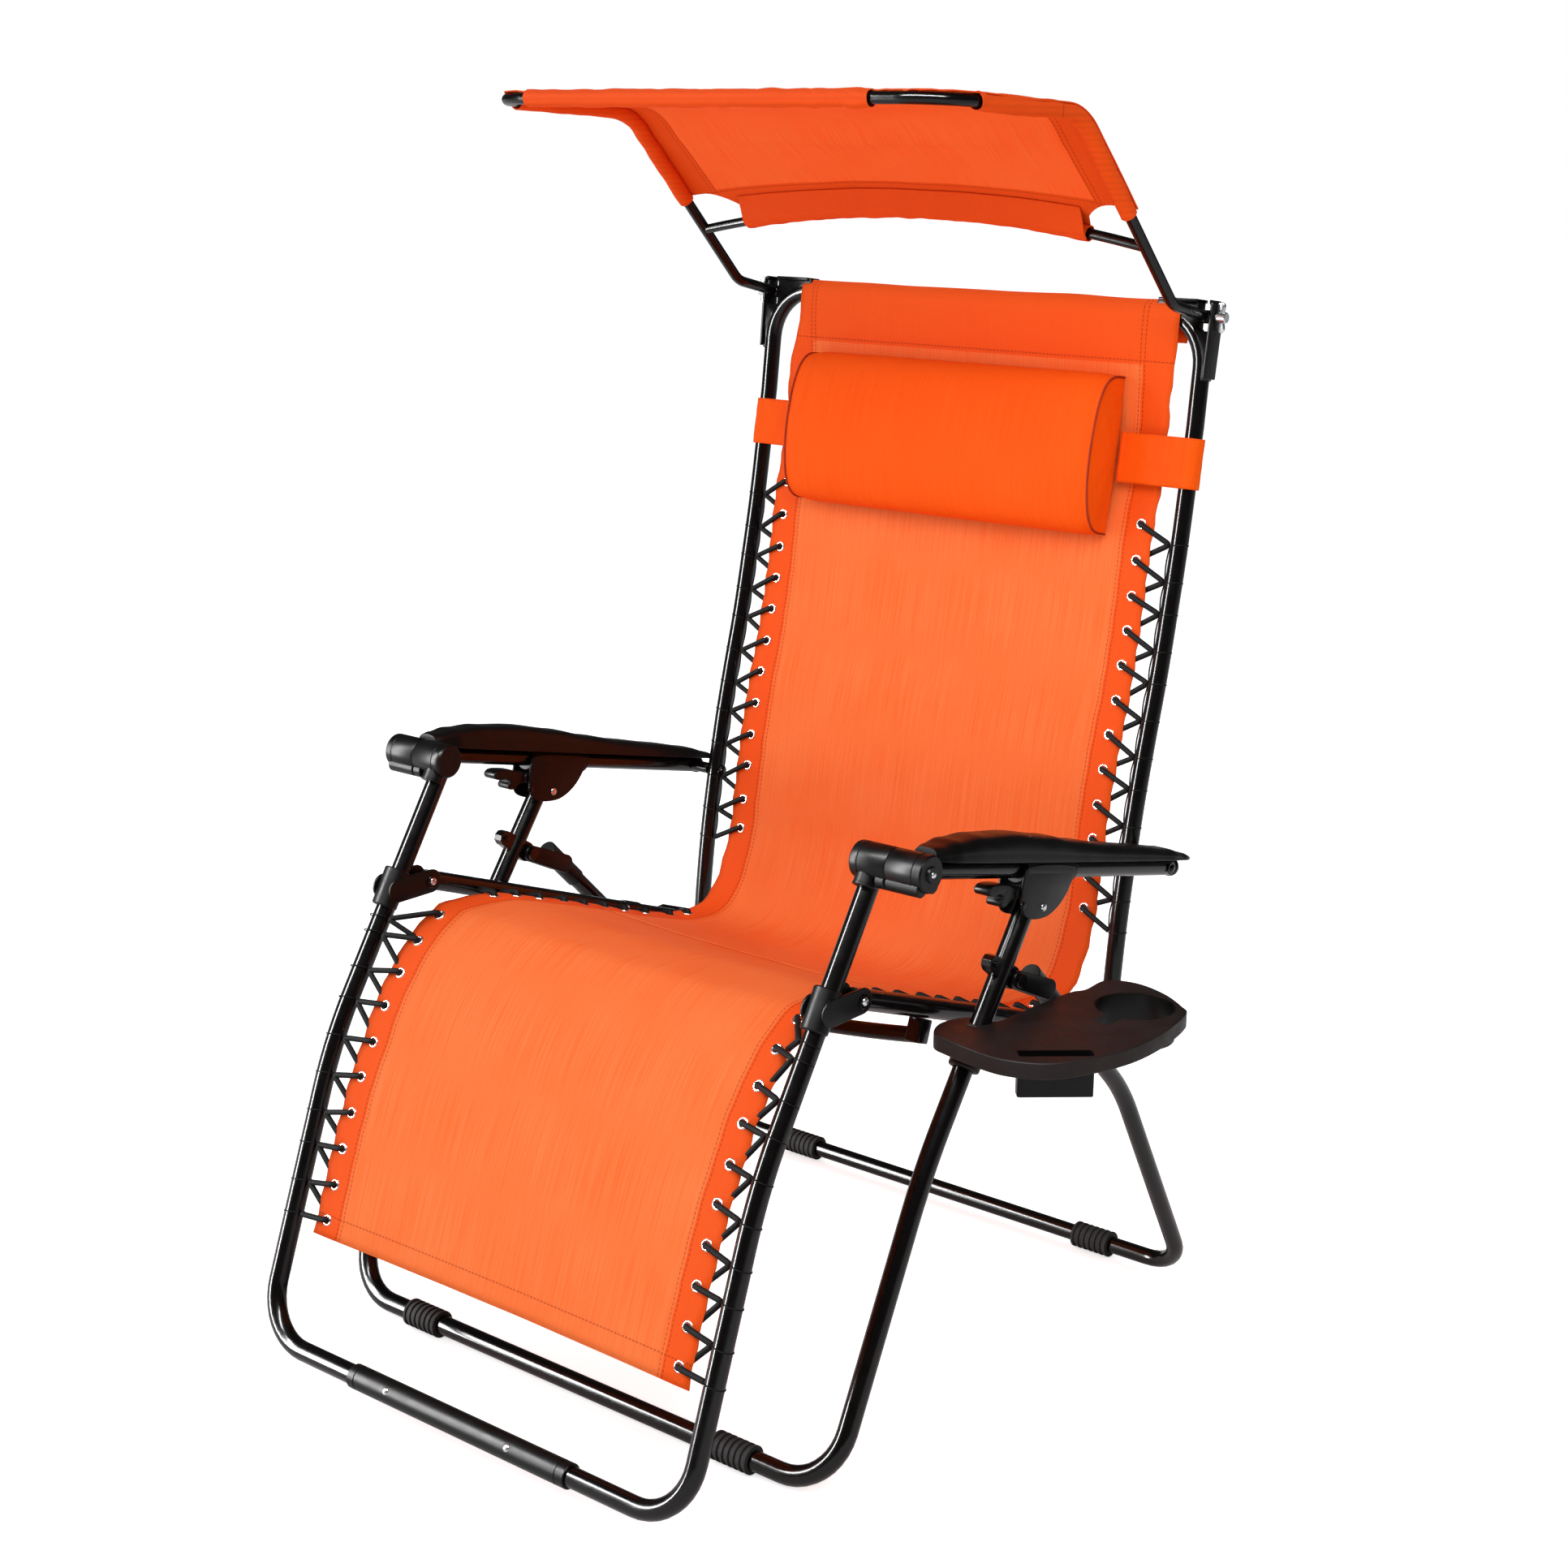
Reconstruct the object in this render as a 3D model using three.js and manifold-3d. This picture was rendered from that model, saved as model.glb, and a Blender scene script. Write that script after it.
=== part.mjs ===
// Sun lounger with canopy: a folding recliner of bent steel tube with a laced cloth sling.
// Millimetres. X is the width, the sitter faces -Y, +Z is up, and the floor is z = 0.
import * as THREE from 'three';
import { mergeVertices } from 'three/addons/utils/BufferGeometryUtils.js';
import Module from 'manifold-3d';

const wasm = await Module();
wasm.setup();

// Tubes, bars and bolts
const legTube = 22;
const backTube = 20;
const armTube = 20;
const canopyTube = 12.4;
const crossbarTube = 17;
const boltShank = 8;
const boltHead = 16;
const boltHeadThick = 4;
const spacerRound = 14;
const plate = 3;
const clearance = 0.3;
const runningGap = 0.6;
const overrun = 40;

// The frame's origin lies on the floor below the middle of the whole outline
const originX = 65;
const originY = 184;

// Counts
const tubeSides = 10;
const boltSides = 8;
const holeSides = 6;
const bendSteps = 4;
const softBendSteps = 3;
const thinSides = 8;
const wideSides = 12;

// Widths, each measured from the middle of the chair
const frameHalfWidth = 307;
const frameStep = 46;
const eyeletInset = 49.5;
const slingInset = 32;
const baseHalfWidth = frameHalfWidth + frameStep;
const eyeletHalfWidth = frameHalfWidth - eyeletInset;
const slingHalfWidth = frameHalfWidth - slingInset;

// Seat: the knee pivot is the front end of the seat rail and the hip pivot its rear end
const kneeHeight = 502;
const seatRun = 474;
const seatFall = 164;
const seatPivotShare = 0.713;

// Leg frame, from the arm hub down to the floor bar
const hubRun = 29;
const hubRise = 133;
const calfBend = { y: -139, z: 348, radius: 520 };
const footBar = { y: -248, z: 35, radius: 62 };

// Back frame, from the hip pivot up to the top bar
const backLean = 141;
const backRise = 796;
const backCornerRadius = 60;
const backLeanShares = [0, 0.043, 0.12, 0.26, 0.39, 0.532, 0.65, 0.759, 0.9, 1];
const backRiseShares = [0, 0.078, 0.178, 0.308, 0.404, 0.499, 0.594, 0.69, 0.845, 1];

// Front base, from the lock slider down to its floor bar
const slidePivot = { y: 236, z: 562 };
const frontBend = { y: 62.4, z: 311.6, radius: 620 };
const frontFoot = { y: -81, z: 16, radius: 62 };

// Rear base, from the cross pivot down to its floor bar
const crossPivot = { y: 205, z: 481 };
const rearTop = { y: 246, z: 472 };
const rearBend = { y: 435, z: 290.7, radius: 250 };
const rearFoot = { y: 594, z: 16, radius: 50 };

// Arms, from the hub to the pivot on the back tube
const armPivotRun = 27;
const armPivotRise = 197;

const DEG = Math.PI / 180;
const knee = yz(0, kneeHeight);
const hip = yz(seatRun, kneeHeight - seatFall);
const hub = yz(hubRun, kneeHeight + hubRise);
const armPivot = yz(hip.x + armPivotRun, hip.y + armPivotRise);
const seatPivot = knee.clone().lerp(hip, seatPivotShare);
const cross = yz(crossPivot.y, crossPivot.z);

// Side-plane points are Vector2 with x as the model's Y and y as its Z
function yz(y, z) {
  return new THREE.Vector2(y, z);
}

function at(x, p) {
  return new THREE.Vector3(x, p.x, p.y);
}

function along(a, b, distance) {
  return a.clone().add(b.clone().sub(a).setLength(distance));
}

function leftOf(a, b) {
  const d = b.clone().sub(a).normalize();
  return yz(-d.y, d.x);
}

// A route of stations that an extrusion follows one by one
class Route extends THREE.Curve {
  constructor(stations) {
    super();
    this.stations = stations;
    this.tangents = stations.map((p, i) => {
      const before = stations[Math.max(i - 1, 0)];
      const after = stations[Math.min(i + 1, stations.length - 1)];
      const into = p.clone().sub(before).normalize();
      const out = after.clone().sub(p).normalize();
      return into.add(out).normalize();
    });
  }

  index(u) {
    return Math.round(u * (this.stations.length - 1));
  }

  getPoint(u) {
    return this.stations[this.index(u)].clone();
  }

  getPointAt(u) {
    return this.getPoint(u);
  }

  getTangent(u) {
    return this.tangents[this.index(u)].clone();
  }

  getTangentAt(u) {
    return this.getTangent(u);
  }
}

// Stations through corner points, each corner turned by an arc of its own radius
function bentRoute(corners) {
  const stations = [];
  corners.forEach(({ p, radius, steps = bendSteps }, i) => {
    if (!radius) {
      stations.push(p.clone());
      return;
    }
    const into = p.clone().sub(corners[i - 1].p).normalize();
    const out = corners[i + 1].p.clone().sub(p).normalize();
    const turn = into.angleTo(out);
    const reach = radius * Math.tan(turn / 2);
    const start = p.clone().addScaledVector(into, -reach);
    const inward = out.clone().addScaledVector(into, -out.dot(into)).normalize();
    const centre = start.clone().addScaledVector(inward, radius);
    for (let k = 0; k <= steps; k += 1) {
      const a = (turn * k) / steps;
      const arc = centre.clone();
      arc.addScaledVector(inward, -radius * Math.cos(a));
      arc.addScaledVector(into, radius * Math.sin(a));
      stations.push(arc);
    }
  });
  return stations;
}

function circle(radius, sides, turn = 0.5) {
  const shape = new THREE.Shape();
  for (let k = 0; k < sides; k += 1) {
    const a = ((k + turn) * 2 * Math.PI) / sides;
    if (k === 0) shape.moveTo(radius * Math.cos(a), radius * Math.sin(a));
    else shape.lineTo(radius * Math.cos(a), radius * Math.sin(a));
  }
  shape.closePath();
  return shape;
}

function tube(stations, radius, sides = tubeSides) {
  const route = new Route(stations);
  const steps = stations.length - 1;
  const options = { steps, bevelEnabled: false, extrudePath: route };
  return new THREE.ExtrudeGeometry(circle(radius, sides), options);
}

// A round bar across the chair or along any line
function bar(a, b, radius, sides = tubeSides) {
  return tube([a, b], radius, sides);
}

// A round room for something of the given round, its flats clear of that by the clearance
function bore(a, b, round, sides = tubeSides) {
  const radius = (round / 2 + clearance) / Math.cos(Math.PI / sides);
  return tube([a, b], radius, sides);
}

// A flat outline in the side plane, given as Vector2s, carried from x0 to x1
function slab(outline, x0, x1) {
  const shape = new THREE.Shape(outline);
  const geometry = new THREE.ExtrudeGeometry(shape, { depth: x1 - x0, bevelEnabled: false });
  const across = new THREE.Vector3(1, 0, 0);
  const back = new THREE.Vector3(0, 1, 0);
  const up = new THREE.Vector3(0, 0, 1);
  geometry.applyMatrix4(new THREE.Matrix4().makeBasis(back, up, across));
  return geometry.translate(x0, 0, 0);
}

// An outline round two circles, as a link or an ear has
function link(a, b, ra, rb, steps = bendSteps) {
  const d = b.clone().sub(a);
  const heading = Math.atan2(d.y, d.x);
  const lean = Math.asin((ra - rb) / d.length());
  const points = [];
  const sweep = (centre, radius, from, to) => {
    for (let k = 0; k <= steps; k += 1) {
      const t = from + ((to - from) * k) / steps;
      points.push(yz(centre.x + radius * Math.cos(t), centre.y + radius * Math.sin(t)));
    }
  };
  const side = Math.PI / 2 - lean;
  sweep(b, rb, heading - side, heading + side);
  sweep(a, ra, heading + side, heading + 2 * Math.PI - side);
  return points;
}

// A turned piece along X: pairs of x and radius from one end to the other
function turnedX(pairs, centre, sides = boltSides, turn = 0) {
  const profile = [new THREE.Vector2(0, pairs[0][0])];
  pairs.forEach(([x, radius]) => profile.push(new THREE.Vector2(radius, x)));
  profile.push(new THREE.Vector2(0, pairs[pairs.length - 1][0]));
  const geometry = new THREE.LatheGeometry(profile, sides);
  const basis = new THREE.Matrix4().makeBasis(
    new THREE.Vector3(0, 1, 0),
    new THREE.Vector3(1, 0, 0),
    new THREE.Vector3(0, 0, -1),
  );
  geometry.rotateY((turn * 2 * Math.PI) / sides);
  return geometry.applyMatrix4(basis).translate(0, centre.x, centre.y);
}

// Rings of equal counts joined into one closed skin, with a fan over each end
function loft(rings) {
  const count = rings[0].length;
  const points = rings.flat();
  const faces = [];
  for (let r = 0; r + 1 < rings.length; r += 1) {
    for (let k = 0; k < count; k += 1) {
      const a = r * count + k;
      const b = r * count + ((k + 1) % count);
      faces.push(a, b, b + count, a, b + count, a + count);
    }
  }
  const last = (rings.length - 1) * count;
  for (let k = 1; k + 1 < count; k += 1) {
    faces.push(0, k + 1, k);
    faces.push(last, last + k, last + k + 1);
  }
  const geometry = new THREE.BufferGeometry();
  const positions = points.flatMap((p) => [p.x, p.y, p.z]);
  geometry.setAttribute('position', new THREE.Float32BufferAttribute(positions, 3));
  geometry.setIndex(faces);
  return geometry;
}

function welded(geometry) {
  const bare = geometry.clone();
  bare.deleteAttribute('normal');
  bare.deleteAttribute('uv');
  return mergeVertices(bare, clearance / 1000);
}

function toSolid(geometry) {
  const bare = welded(geometry);
  const vertProperties = new Float32Array(bare.attributes.position.array);
  const triVerts = new Uint32Array(bare.index.array);
  const solid = new wasm.Manifold(new wasm.Mesh({ numProp: 3, vertProperties, triVerts }));
  return solid;
}

function fromSolid(solid) {
  const mesh = solid.getMesh();
  const geometry = new THREE.BufferGeometry();
  const positions = new THREE.Float32BufferAttribute(mesh.vertProperties, 3);
  geometry.setAttribute('position', positions);
  geometry.setIndex(Array.from(mesh.triVerts));
  return geometry;
}

function joined(...geometries) {
  return fromSolid(geometries.map(toSolid).reduce((a, b) => a.add(b)));
}

function cut(geometry, ...tools) {
  return fromSolid(tools.map(toSolid).reduce((a, b) => a.subtract(b), toSolid(geometry)));
}

function mirrored(geometry) {
  const other = welded(geometry).scale(-1, 1, 1);
  const order = other.index.array;
  for (let k = 0; k < order.length; k += 3) {
    [order[k], order[k + 1]] = [order[k + 1], order[k]];
  }
  return other;
}

// The finished lounger and its looks
const lounger = new THREE.Group();

const finishes = {
  steel: { color: 0x15100f, roughness: 0.28, metalness: 0.55 },
  plastic: { color: 0x17130f, roughness: 0.5, metalness: 0 },
  tray: { color: 0x241916, roughness: 0.6, metalness: 0 },
  rubber: { color: 0x0f0e0e, roughness: 0.85, metalness: 0 },
  zinc: { color: 0xb9bcc0, roughness: 0.3, metalness: 0.9 },
  sling: { color: 0xff6a30, roughness: 0.8, metalness: 0 },
  canopy: { color: 0xff5516, roughness: 0.85, metalness: 0 },
  cord: { color: 0x111010, roughness: 0.8, metalness: 0 },
};

function add(name, geometry, finish) {
  const shaped = welded(geometry).toNonIndexed();
  shaped.translate(-originX, -originY, 0);
  shaped.computeVertexNormals();
  const mesh = new THREE.Mesh(shaped, new THREE.MeshStandardMaterial(finishes[finish]));
  mesh.name = name;
  lounger.add(mesh);
}

// The right-hand piece is drawn at +X and its twin mirrored to -X
function addPair(name, geometry, finish) {
  add(`${name}_left`, geometry, finish);
  add(`${name}_right`, mirrored(geometry), finish);
}

function shankHole(x0, x1, centre) {
  return bore(at(x0, centre), at(x1, centre), boltShank, boltSides);
}

// A frame that runs up one side, round two corners and down the other
function hoop(sideCorners) {
  const far = sideCorners.map((c) => ({ ...c, p: c.p.clone().multiply(new THREE.Vector3(-1, 1, 1)) }));
  return bentRoute([...sideCorners, ...far.reverse()]);
}

// Front base
function frontBase() {
  const stations = hoop([
    { p: at(baseHalfWidth, yz(slidePivot.y, slidePivot.z)) },
    {
      p: at(baseHalfWidth, yz(frontBend.y, frontBend.z)),
      radius: frontBend.radius,
      steps: softBendSteps,
    },
    { p: at(baseHalfWidth, yz(frontFoot.y, frontFoot.z)), radius: frontFoot.radius },
  ]);
  return tube(stations, legTube / 2);
}

// Rear base
function rearBase() {
  const stations = hoop([
    { p: at(baseHalfWidth, yz(rearTop.y, rearTop.z)) },
    {
      p: at(baseHalfWidth, yz(rearBend.y, rearBend.z)),
      radius: rearBend.radius,
      steps: softBendSteps,
    },
    { p: at(baseHalfWidth, yz(rearFoot.y, rearFoot.z)), radius: rearFoot.radius },
  ]);
  return tube(stations, backTube / 2);
}

// Cross pivot: a tongue through the front leg, held in a fork on the rear leg's top
const tongueWide = 12;
const tongueRound = 12;
const tongueNose = 9;
const tongueReach = 44;
const forkRound = 13;
const forkEar = 10;
const forkWide = 25;
const forkLength = 62;
const forkSlotRound = 19;

function crossDirection() {
  const upper = yz(slidePivot.y, slidePivot.z);
  const lower = yz(frontBend.y, frontBend.z);
  return leftOf(lower, upper);
}

function tongueOutline(grow) {
  const nose = cross.clone().addScaledVector(crossDirection(), tongueReach);
  return link(cross, nose, tongueRound + grow, tongueNose + grow);
}

function crossTongue() {
  const x0 = baseHalfWidth - tongueWide / 2;
  const x1 = baseHalfWidth + tongueWide / 2;
  const nose = cross.clone().addScaledVector(crossDirection(), tongueReach);
  const rivet = turnedX([
    [x0 - plate, spacerRound / 4],
    [x1 + plate, spacerRound / 4],
  ], nose);
  const cheek = x1 + clearance + (forkWide - tongueWide) / 2;
  const bolt = turnedX([
    [2 * baseHalfWidth - cheek - boltHeadThick, boltHead / 2],
    [2 * baseHalfWidth - cheek - clearance, boltHead / 2],
    [2 * baseHalfWidth - cheek - clearance, boltShank / 2],
    [cheek + clearance, boltShank / 2],
    [cheek + clearance, boltHead / 2],
    [cheek + boltHeadThick, boltHead / 2],
  ], cross);
  return joined(slab(tongueOutline(0), x0, x1), rivet, bolt);
}

function tongueSlot() {
  const half = tongueWide / 2 + clearance;
  return slab(tongueOutline(clearance), baseHalfWidth - half, baseHalfWidth + half);
}

function crossFork() {
  const top = yz(rearTop.y, rearTop.z);
  const bend = yz(rearBend.y, rearBend.z);
  const half = forkWide / 2;
  const x0 = baseHalfWidth - half;
  const x1 = baseHalfWidth + half;
  const low = along(top, bend, forkLength);
  const above = along(top, bend, -forkRound / 2);
  const sleeve = slab(link(above, low, forkRound, forkRound), x0, x1);
  const ear = slab(link(cross, along(top, bend, forkRound), forkEar, forkRound), x0, x1);
  const slotHalf = tongueWide / 2 + clearance;
  const slot = bar(
    at(baseHalfWidth - slotHalf, cross),
    at(baseHalfWidth + slotHalf, cross),
    forkSlotRound,
    wideSides,
  );
  const room = bore(
    at(baseHalfWidth, along(top, bend, -clearance)),
    at(baseHalfWidth, along(top, bend, forkLength + overrun)),
    backTube,
  );
  return cut(joined(sleeve, ear), slot, room, shankHole(x0 - plate, x1 + plate, cross));
}

// Feet: ribbed rubber sleeves on the two floor bars, each with a flat side down
const footRound = 32;
const footLength = 50;
const footRibs = 3;
const footGroove = 1.6;
const footSides = 8;
const frontFootAt = 230;
const rearFootAt = 228;

function foot(centreX, place, tubeRound) {
  const pitch = footLength / (2 * footRibs - 1);
  const x0 = centreX - footLength / 2;
  const profile = [];
  for (let k = 0; k < 2 * footRibs - 1; k += 1) {
    const radius = (footRound / 2 - (k % 2 ? footGroove : 0)) / Math.cos(Math.PI / footSides);
    profile.push([x0 + k * pitch, radius], [x0 + (k + 1) * pitch, radius]);
  }
  const room = bore(
    at(x0 - overrun, place),
    at(x0 + footLength + overrun, place),
    tubeRound,
  );
  return cut(turnedX(profile, place, footSides, 1 / 2), room);
}

// Seat rails, with a saddle over each at the seat pivot
const saddleLength = 28;
const saddleRise = 3;
const saddleBoss = 14;

function seatRail() {
  const end = along(hip, knee, rearBracket.gap);
  const rail = joined(
    bar(at(frameHalfWidth, knee), at(frameHalfWidth, end), legTube / 2),
    turnedX([
      [frameHalfWidth - legTube / 2 + plate, legTube / 2 - plate / 3],
      [frameHalfWidth + legTube / 2 - plate, legTube / 2 - plate / 3],
    ], knee),
  );
  const saddle = bar(
    at(frameHalfWidth, along(seatPivot, knee, saddleLength / 2)),
    at(frameHalfWidth, along(seatPivot, hip, saddleLength / 2)),
    legTube / 2 + saddleRise / 2,
  );
  const rise = leftOf(knee, hip);
  const boss = bar(
    at(frameHalfWidth, seatPivot.clone().addScaledVector(rise, legTube / 2 - saddleRise)),
    at(frameHalfWidth, seatPivot.clone().addScaledVector(rise, legTube / 2 + 2 * saddleRise)),
    saddleBoss / 2,
    thinSides,
  );
  const x0 = frameHalfWidth - overrun;
  const x1 = frameHalfWidth + overrun;
  return cut(joined(rail, saddle, boss), shankHole(x0, x1, knee), shankHole(x0, x1, seatPivot));
}

// Seat crossbar, bowed down between two tabs under the rails
const crossbarShare = 0.25;
const crossbarDrop = 28;
const crossbarBow = 26;
const tabLong = 18;
const tabWide = 18;
const crossbarSteps = 8;

function seatCrossbar() {
  const down = leftOf(hip, knee);
  const mid = knee.clone().lerp(hip, crossbarShare);
  const level = mid.clone().addScaledVector(down, crossbarDrop);
  const stations = [];
  for (let k = 0; k <= crossbarSteps; k += 1) {
    const s = (2 * k) / crossbarSteps - 1;
    const drop = crossbarBow * (1 - s * s);
    stations.push(at(s * (frameHalfWidth + tabWide / 3), level.clone().addScaledVector(down, drop)));
  }
  const near = mid.clone().addScaledVector(down, legTube / 2 + clearance);
  const low = level.clone().addScaledVector(down, crossbarTube / 2);
  const fore = knee.clone().sub(hip).setLength(tabLong / 2);
  const tab = slab(
    [near.clone().sub(fore), near.clone().add(fore), low.clone().add(fore), low.clone().sub(fore)].reverse(),
    frameHalfWidth - tabWide / 2,
    frameHalfWidth + tabWide / 2,
  );
  return joined(tube(stations, crossbarTube / 2), tab, mirrored(tab));
}

// Pins across each hinge: pairs of x and radius, with a spacer where the tubes stand apart
function pinAcross(centre, inner, outer) {
  return turnedX([
    [frameHalfWidth - inner - boltHeadThick, boltHead / 2],
    [frameHalfWidth - inner - clearance, boltHead / 2],
    [frameHalfWidth - inner - clearance, boltShank / 2],
    [frameHalfWidth + outer + clearance, boltShank / 2],
    [frameHalfWidth + outer + clearance, boltHead / 2],
    [frameHalfWidth + outer + boltHeadThick, boltHead / 2],
  ], centre);
}

function pinWithSpacer(centre, near, far) {
  const x0 = frameHalfWidth + near / 2 + clearance;
  const x1 = baseHalfWidth - far / 2 - clearance;
  return turnedX([
    [frameHalfWidth - near / 2 - boltHeadThick, boltHead / 2],
    [frameHalfWidth - near / 2 - clearance, boltHead / 2],
    [frameHalfWidth - near / 2 - clearance, boltShank / 2],
    [x0, boltShank / 2],
    [x0, spacerRound / 2],
    [x1, spacerRound / 2],
    [x1, boltShank / 2],
    [baseHalfWidth + far / 2 + clearance, boltShank / 2],
    [baseHalfWidth + far / 2 + clearance, boltHead / 2],
    [baseHalfWidth + far / 2 + boltHeadThick, boltHead / 2],
  ], centre);
}

// Rear seat bracket: a channel from the rail's end to the hip pivot
const rearBracket = { gap: 33, length: 66, radius: 14 };

function hipBracket() {
  const half = legTube / 2 + runningGap;
  const far = along(hip, knee, rearBracket.length);
  const outline = link(hip, far, rearBracket.radius, rearBracket.radius);
  const body = slab(outline, frameHalfWidth - half - plate, frameHalfWidth + half + plate);
  const rise = leftOf(knee, hip).multiplyScalar(rearBracket.radius);
  const ahead = along(hip, knee, rearBracket.length + overrun).sub(hip);
  const behind = knee.clone().sub(hip).setLength(-overrun);
  const floorLine = rise.clone().multiplyScalar(-1 + plate / rearBracket.radius);
  const slot = slab(
    [
      hip.clone().add(behind).add(floorLine),
      hip.clone().add(behind).addScaledVector(rise, 3),
      hip.clone().add(ahead).addScaledVector(rise, 3),
      hip.clone().add(ahead).add(floorLine),
    ].reverse(),
    frameHalfWidth - half,
    frameHalfWidth + half,
  );
  const hole = shankHole(frameHalfWidth - overrun, frameHalfWidth + overrun, hip);
  return cut(body, slot, hole);
}

// Back frame
function backPoint(lean, rise) {
  return yz(hip.x + backLean * lean, hip.y + backRise * rise);
}

function backSide() {
  return backLeanShares.map((lean, i) => backPoint(lean, backRiseShares[i]));
}

function backFrame() {
  const side = backSide().map((p) => ({ p: at(frameHalfWidth, p) }));
  side[side.length - 1].radius = backCornerRadius;
  const frame = tube(hoop(side), backTube / 2);
  const x0 = frameHalfWidth - overrun;
  const x1 = frameHalfWidth + overrun;
  const tools = [hip, armPivot].map((p) => shankHole(x0, x1, p));
  const all = [...tools, ...tools.map(mirrored)];
  return cut(joined(frame, backFoot(), mirrored(backFoot())), ...all);
}

function backFoot() {
  const half = backTube / 2 - plate;
  return turnedX([
    [frameHalfWidth - half, backTube / 2 - plate / 4],
    [frameHalfWidth + half, backTube / 2 - plate / 4],
  ], hip);
}

// Corner gussets that square off the back frame's top and carry the canopy bolts
const gusset = { long: 74, inward: 58, thick: 26, wall: 4 };

function backTop() {
  return backPoint(1, 1);
}

function backCorner() {
  const top = backTop();
  const below = backPoint(backLeanShares.at(-2), backRiseShares.at(-2));
  const heading = top.clone().sub(below).normalize();
  const aside = frameHalfWidth + backTube / 2 + clearance + gusset.wall;
  const high = backTube / 2 + clearance + gusset.wall;
  const inner = frameHalfWidth - gusset.inward;
  const outline = [
    [inner, high],
    [inner, -backTube / 2 - gusset.wall],
    [inner + gusset.wall, -backTube / 2 - gusset.wall],
    [frameHalfWidth - backTube / 2 - gusset.wall, -gusset.long + gusset.wall],
    [frameHalfWidth - backTube / 2 - gusset.wall, -gusset.long],
    [aside, -gusset.long],
    [aside, high],
  ].map(([x, u]) => new THREE.Vector2(x, u));
  const geometry = new THREE.ExtrudeGeometry(new THREE.Shape(outline), {
    depth: gusset.thick,
    bevelEnabled: false,
  });
  const up = new THREE.Vector3(0, heading.x, heading.y);
  const across = new THREE.Vector3(1, 0, 0);
  const front = new THREE.Vector3().crossVectors(across, up);
  geometry.translate(0, 0, -gusset.thick / 2);
  geometry.applyMatrix4(new THREE.Matrix4().makeBasis(across, up, front));
  geometry.translate(0, top.x, top.y);
  const side = backSide().map((p) => ({ p: at(frameHalfWidth, p) }));
  side[side.length - 1].radius = backCornerRadius;
  const room = tube(hoop(side), (backTube / 2 + clearance) / Math.cos(Math.PI / tubeSides));
  const hole = shankHole(frameHalfWidth - overrun, frameHalfWidth + overrun, canopyPivot());
  return cut(geometry, room, hole, canopyEyeRoom());
}

// Leg frame: lower hoop of wide tube, with a narrower post from each knee up to the hub
const postTube = 20;
const kneeSplitShare = 0.5;
const kneeSleeve = { top: 521, bottom: 483, round: 29 };

function legLine() {
  const bend = yz(calfBend.y, calfBend.z);
  return { bend, hub };
}

function kneePoint(z) {
  const { bend } = legLine();
  const t = (z - bend.y) / (hub.y - bend.y);
  return bend.clone().lerp(hub, t);
}

function legFrame() {
  const z = kneeSleeve.bottom + (kneeSleeve.top - kneeSleeve.bottom) * kneeSplitShare;
  const split = kneePoint(z);
  const stations = hoop([
    { p: at(frameHalfWidth, split) },
    {
      p: at(frameHalfWidth, yz(calfBend.y, calfBend.z)),
      radius: calfBend.radius,
      steps: softBendSteps,
    },
    { p: at(frameHalfWidth, yz(footBar.y, footBar.z)), radius: footBar.radius },
  ]);
  const hubEnd = along(hub, split, hubRound / 2 + clearance);
  const lower = along(split, hub, -1);
  const post = bar(at(frameHalfWidth, lower), at(frameHalfWidth, hubEnd), postTube / 2);
  return joined(tube(stations, legTube / 2), post, mirrored(post));
}

// Knee bracket: a sleeve round the leg with two cheeks that hold the seat rail's end
function kneeBracket() {
  const top = kneePoint(kneeSleeve.top);
  const bottom = kneePoint(kneeSleeve.bottom);
  const mid = top.clone().lerp(bottom, kneeSplitShare);
  const sleeve = bar(at(frameHalfWidth, top), at(frameHalfWidth, bottom), kneeSleeve.round / 2);
  const half = legTube / 2 + runningGap;
  const outline = link(knee, mid, legTube / 2 + plate, kneeSleeve.round / 2);
  const cheeks = slab(outline, frameHalfWidth - half - plate, frameHalfWidth + half + plate);
  const slotRound = legTube / 2 + plate * 3;
  const away = knee.clone().add(knee).sub(mid);
  const slot = slab(link(knee, away, slotRound, slotRound), frameHalfWidth - half, frameHalfWidth + half);
  const room = bore(
    at(frameHalfWidth, along(mid, hub, overrun)),
    at(frameHalfWidth, along(mid, hub, -overrun)),
    legTube,
  );
  return cut(
    joined(sleeve, cheeks),
    slot,
    room,
    shankHole(frameHalfWidth - overrun, frameHalfWidth + overrun, knee),
  );
}

// Arm hub: the leg's half of the front pivot, with a scalloped underside
const hubRound = 38;
const hubInset = 17;
const hubSplitStep = 27;
const hubOutset = 25;
const hubInner = frameHalfWidth - hubInset;
const hubSplit = frameHalfWidth + hubSplitStep;
const hubOuter = baseHalfWidth + hubOutset;
const lobeRound = 17;
const socketRound = 27;
const socketLong = 34;

function lobes(x0, x1) {
  return [-1, 1].map((s) => {
    const a = (-90 + s * 34) * DEG;
    const reach = hubRound / 2;
    const p = yz(hub.x + reach * Math.cos(a), hub.y + reach * Math.sin(a));
    return bar(at(x0, p), at(x1, p), lobeRound / 2, boltSides);
  });
}

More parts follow.
